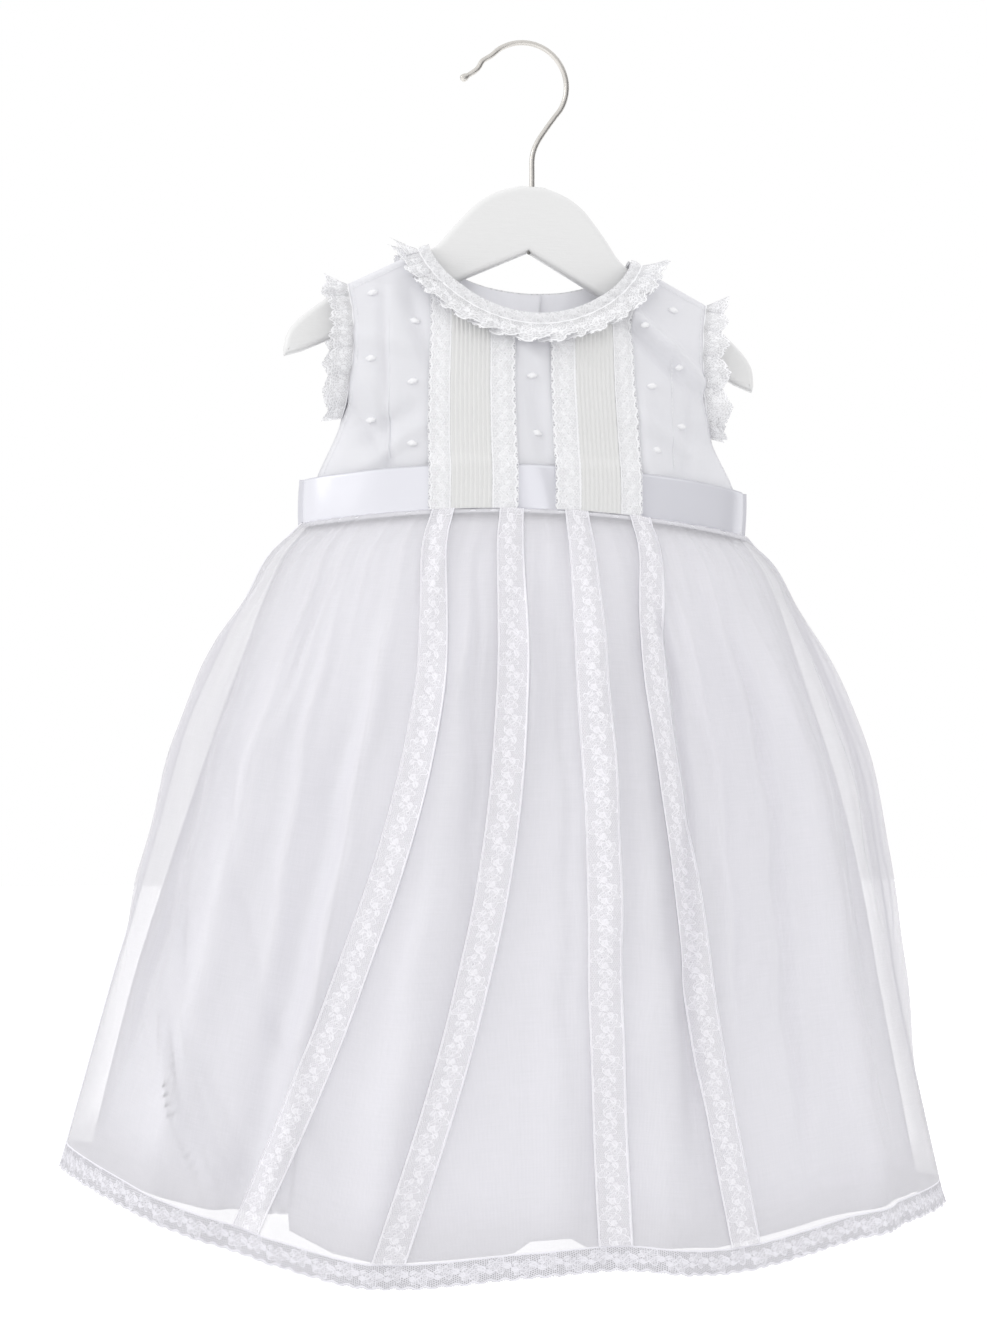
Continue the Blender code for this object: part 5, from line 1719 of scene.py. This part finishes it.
def make_side_seams():
    """A sewn seam down each side of both skirts, where front and back meet."""
    falls = np.linspace(0, 1, 60)
    for kind, point in (("outer", organza_point), ("under", lining_point)):
        for hand, turn in (("left", 0.0), ("right", 1.0)):
            path = point(np.full_like(falls, turn), falls, FRONT)
            path[:, 1] = 0.0
            if kind == "outer":
                foot = path[-1] + unit(path[-1] - path[-4]) * HEM_LACE_WIDTH
                path = np.vstack([path, foot])
            name = f"{kind}_seam_{hand}"
            add_tube(name, path, SIDE_SEAM_RADII[kind], 6, "lining_cotton")


def stage_panel(name, corners, finish):
    """A flat piece of the stage, which is no part of the dress."""
    mesh = bpy.data.meshes.new(name)
    mesh.from_pydata(corners, [], [(0, 1, 2, 3)])
    mesh.materials.append(finish.material)
    panel = bpy.data.objects.new(name, mesh)
    bpy.context.scene.collection.objects.link(panel)
    panel.visible_diffuse = False
    return panel


def make_floor():
    """A plain pale floor, well below the dress."""
    ends = ((-1, -1), (1, -1), (1, 1), (-1, 1))
    corners = [(x * FLOOR_HALF, y * FLOOR_HALF, FLOOR_HEIGHT) for x, y in ends]
    finish = Finish("pale_floor", 0.9, Emission_Strength=0.36)
    cloud = finish.noise(finish.place(), 3.0)
    finish.colour((0.92,) * 3, (0.95,) * 3, cloud)
    finish.feed(finish.shader.inputs["Emission Color"], finish.tint((0.98,) * 3, (1.0,) * 3, cloud))
    floor = stage_panel("floor", corners, finish)


def make_dark_card():
    """A dark card at the right, seen only in glossy cloth and metal."""
    ends = ((CARD_NEAR, CARD_FOOT), (CARD_FAR, CARD_FOOT), (CARD_FAR, CARD_HEAD), (CARD_NEAR, CARD_HEAD))
    finish = Finish("dark_card", 0.9)
    cloud = finish.noise(finish.place(), 3.0)
    finish.colour((0.15, 0.15, 0.16), (0.18, 0.18, 0.19), cloud)
    card = stage_panel("dark_card", [(*place, height) for place, height in ends], finish)
    card.visible_camera = False
    card.visible_shadow = False


def add_area_light(name, place, size, power, target=LAMP_TARGET):
    light = bpy.data.lights.new(name, "AREA")
    light.shape = "DISK"
    light.size = size
    light.energy = power
    lamp = bpy.data.objects.new(name, light)
    lamp.location = place
    way = Vector(target) - Vector(place)
    lamp.rotation_euler = way.to_track_quat("-Z", "Y").to_euler()
    lamp.visible_camera = False
    bpy.context.scene.collection.objects.link(lamp)


def make_world(surround):
    """White all round, a little brighter from the left and above; the camera sees it full white."""
    world = bpy.data.worlds.new("studio")
    world.use_nodes = True
    nodes = Nodes(world.node_tree)
    way = nodes.node("ShaderNodeTexCoord").outputs["Generated"]
    parts = nodes.node("ShaderNodeSeparateXYZ", {}, {0: way})

    def graded(axis, low, high):
        inputs = {"Value": parts.outputs[axis], "From Min": -1.0, "To Min": low, "To Max": high}
        return nodes.value(nodes.node("ShaderNodeMapRange", {}, inputs), "Result")

    level = graded("X", 1.06, 0.94) * graded("Z", 0.90, 1.14)
    lit = nodes.node("ShaderNodeBackground", {}, {"Color": level, "Strength": surround})
    seen = nodes.node("ShaderNodeBackground", {}, {"Color": (1.0,) * 4, "Strength": 1.0})
    camera_ray = nodes.node("ShaderNodeLightPath").outputs["Is Camera Ray"]
    inputs = {0: camera_ray, 1: lit.outputs[0], 2: seen.outputs[0]}
    choose = nodes.node("ShaderNodeMixShader", {}, inputs)
    nodes.node("ShaderNodeOutputWorld", {}, {0: choose.outputs[0]})
    bpy.context.scene.world = world


def make_camera():
    """Level, turned a few degrees, at the photo's distance."""
    lens = bpy.data.cameras.new("camera")
    lens.lens = CAMERA_LENS
    lens.sensor_width = CAMERA_SENSOR
    camera = bpy.data.objects.new("camera", lens)
    ahead = Vector((math.sin(CAMERA_TURN), math.cos(CAMERA_TURN), 0.0))
    camera.location = CAMERA_TARGET - ahead * CAMERA_AWAY
    camera.rotation_euler = (math.pi / 2, 0.0, -CAMERA_TURN)
    bpy.context.scene.collection.objects.link(camera)
    bpy.context.scene.camera = camera


class DRESS_OT_hanger(bpy.types.Operator):
    """Make the painted hanger and its wire hook"""

    bl_idname = "dress.hanger"
    bl_label = "Hanger and hook"

    def execute(self, context):
        make_hanger_body()
        make_hook()
        return {"FINISHED"}


class DRESS_OT_bodice(bpy.types.Operator):
    """Make the front and the two backs of the bodice"""

    bl_idname = "dress.bodice"
    bl_label = "Bodice"

    def execute(self, context):
        make_bodice_front()
        make_bodice_backs()
        return {"FINISHED"}


class DRESS_OT_sash(bpy.types.Operator):
    """Make the satin sash and the cord in the waist seam"""

    bl_idname = "dress.sash"
    bl_label = "Sash and waist cord"

    def execute(self, context):
        make_sash()
        make_piping()
        return {"FINISHED"}


class DRESS_OT_strips(bpy.types.Operator):
    """Make the lace strips, the tucked panels, the knots and the darts of the front"""

    bl_idname = "dress.strips"
    bl_label = "Strips, tucks and knots"

    def execute(self, context):
        make_strips()
        make_knots()
        make_darts()
        return {"FINISHED"}


class DRESS_OT_ruffles(bpy.types.Operator):
    """Make the neck bindings and the gathered lace of neck and armholes"""

    bl_idname = "dress.ruffles"
    bl_label = "Bindings and ruffles"

    def execute(self, context):
        make_neck_bands()
        make_neck_ruffles()
        make_armhole_ruffles()
        return {"FINISHED"}


class DRESS_OT_skirt(bpy.types.Operator):
    """Make the under-skirt, the organza, its insertions, the hem lace and the side seams"""

    bl_idname = "dress.skirt"
    bl_label = "Skirt"

    def execute(self, context):
        make_lining()
        make_organza()
        make_insertions()
        make_hem_lace()
        make_side_seams()
        return {"FINISHED"}


class DRESS_OT_notions(bpy.types.Operator):
    """Make the buttons and the rows of stitches"""

    bl_idname = "dress.notions"
    bl_label = "Buttons and stitching"

    def execute(self, context):
        make_buttons()
        make_stitching()
        return {"FINISHED"}


class DRESS_OT_stage(bpy.types.Operator):
    """Make the floor, the light and the camera"""

    bl_idname = "dress.stage"
    bl_label = "Stage"

    def execute(self, context):
        studio = context.scene.studio_light
        make_floor()
        make_dark_card()
        make_world(studio.surround)
        add_area_light("key_light", KEY_PLACE, LAMP_SIZE, studio.key)
        add_area_light("fill_light", FILL_PLACE, LAMP_SIZE, studio.fill)
        add_area_light(
            "neck_light", NECK_LAMP_PLACE, NECK_LAMP_SIZE, studio.through, NECK_LAMP_TARGET
        )
        make_camera()
        context.scene.view_settings.view_transform = "Standard"
        return {"FINISHED"}


OPERATORS = (
    DRESS_OT_hanger,
    DRESS_OT_bodice,
    DRESS_OT_sash,
    DRESS_OT_strips,
    DRESS_OT_ruffles,
    DRESS_OT_skirt,
    DRESS_OT_notions,
    DRESS_OT_stage,
)


class DRESS_PT_panel(bpy.types.Panel):
    """Sizes, colours and the steps that make the dress"""

    bl_label = "Organza dress"
    bl_idname = "DRESS_PT_panel"
    bl_space_type = "VIEW_3D"
    bl_region_type = "UI"
    bl_category = "Dress"

    def draw(self, context):
        layout = self.layout
        for group in (context.scene.dress_sizes, context.scene.dress_colours, context.scene.studio_light):
            box = layout.box()
            for name in group.bl_rna.properties.keys():
                if name not in ("rna_type", "name"):
                    box.prop(group, name)
        for operator in OPERATORS:
            layout.operator(operator.bl_idname)


GROUPS = {"dress_sizes": DressSizes, "dress_colours": DressColours, "studio_light": StudioLight}
CLASSES = (*GROUPS.values(), *OPERATORS, DRESS_PT_panel)


def register():
    for made in CLASSES:
        bpy.utils.register_class(made)
    for name, group in GROUPS.items():
        setattr(bpy.types.Scene, name, PointerProperty(type=group))


def unregister():
    for name in GROUPS:
        delattr(bpy.types.Scene, name)
    for made in reversed(CLASSES):
        bpy.utils.unregister_class(made)


def main():
    register()
    for operator in OPERATORS:
        name = operator.bl_idname.split(".")[1]
        getattr(bpy.ops.dress, name)()


if __name__ == "__main__":
    main()
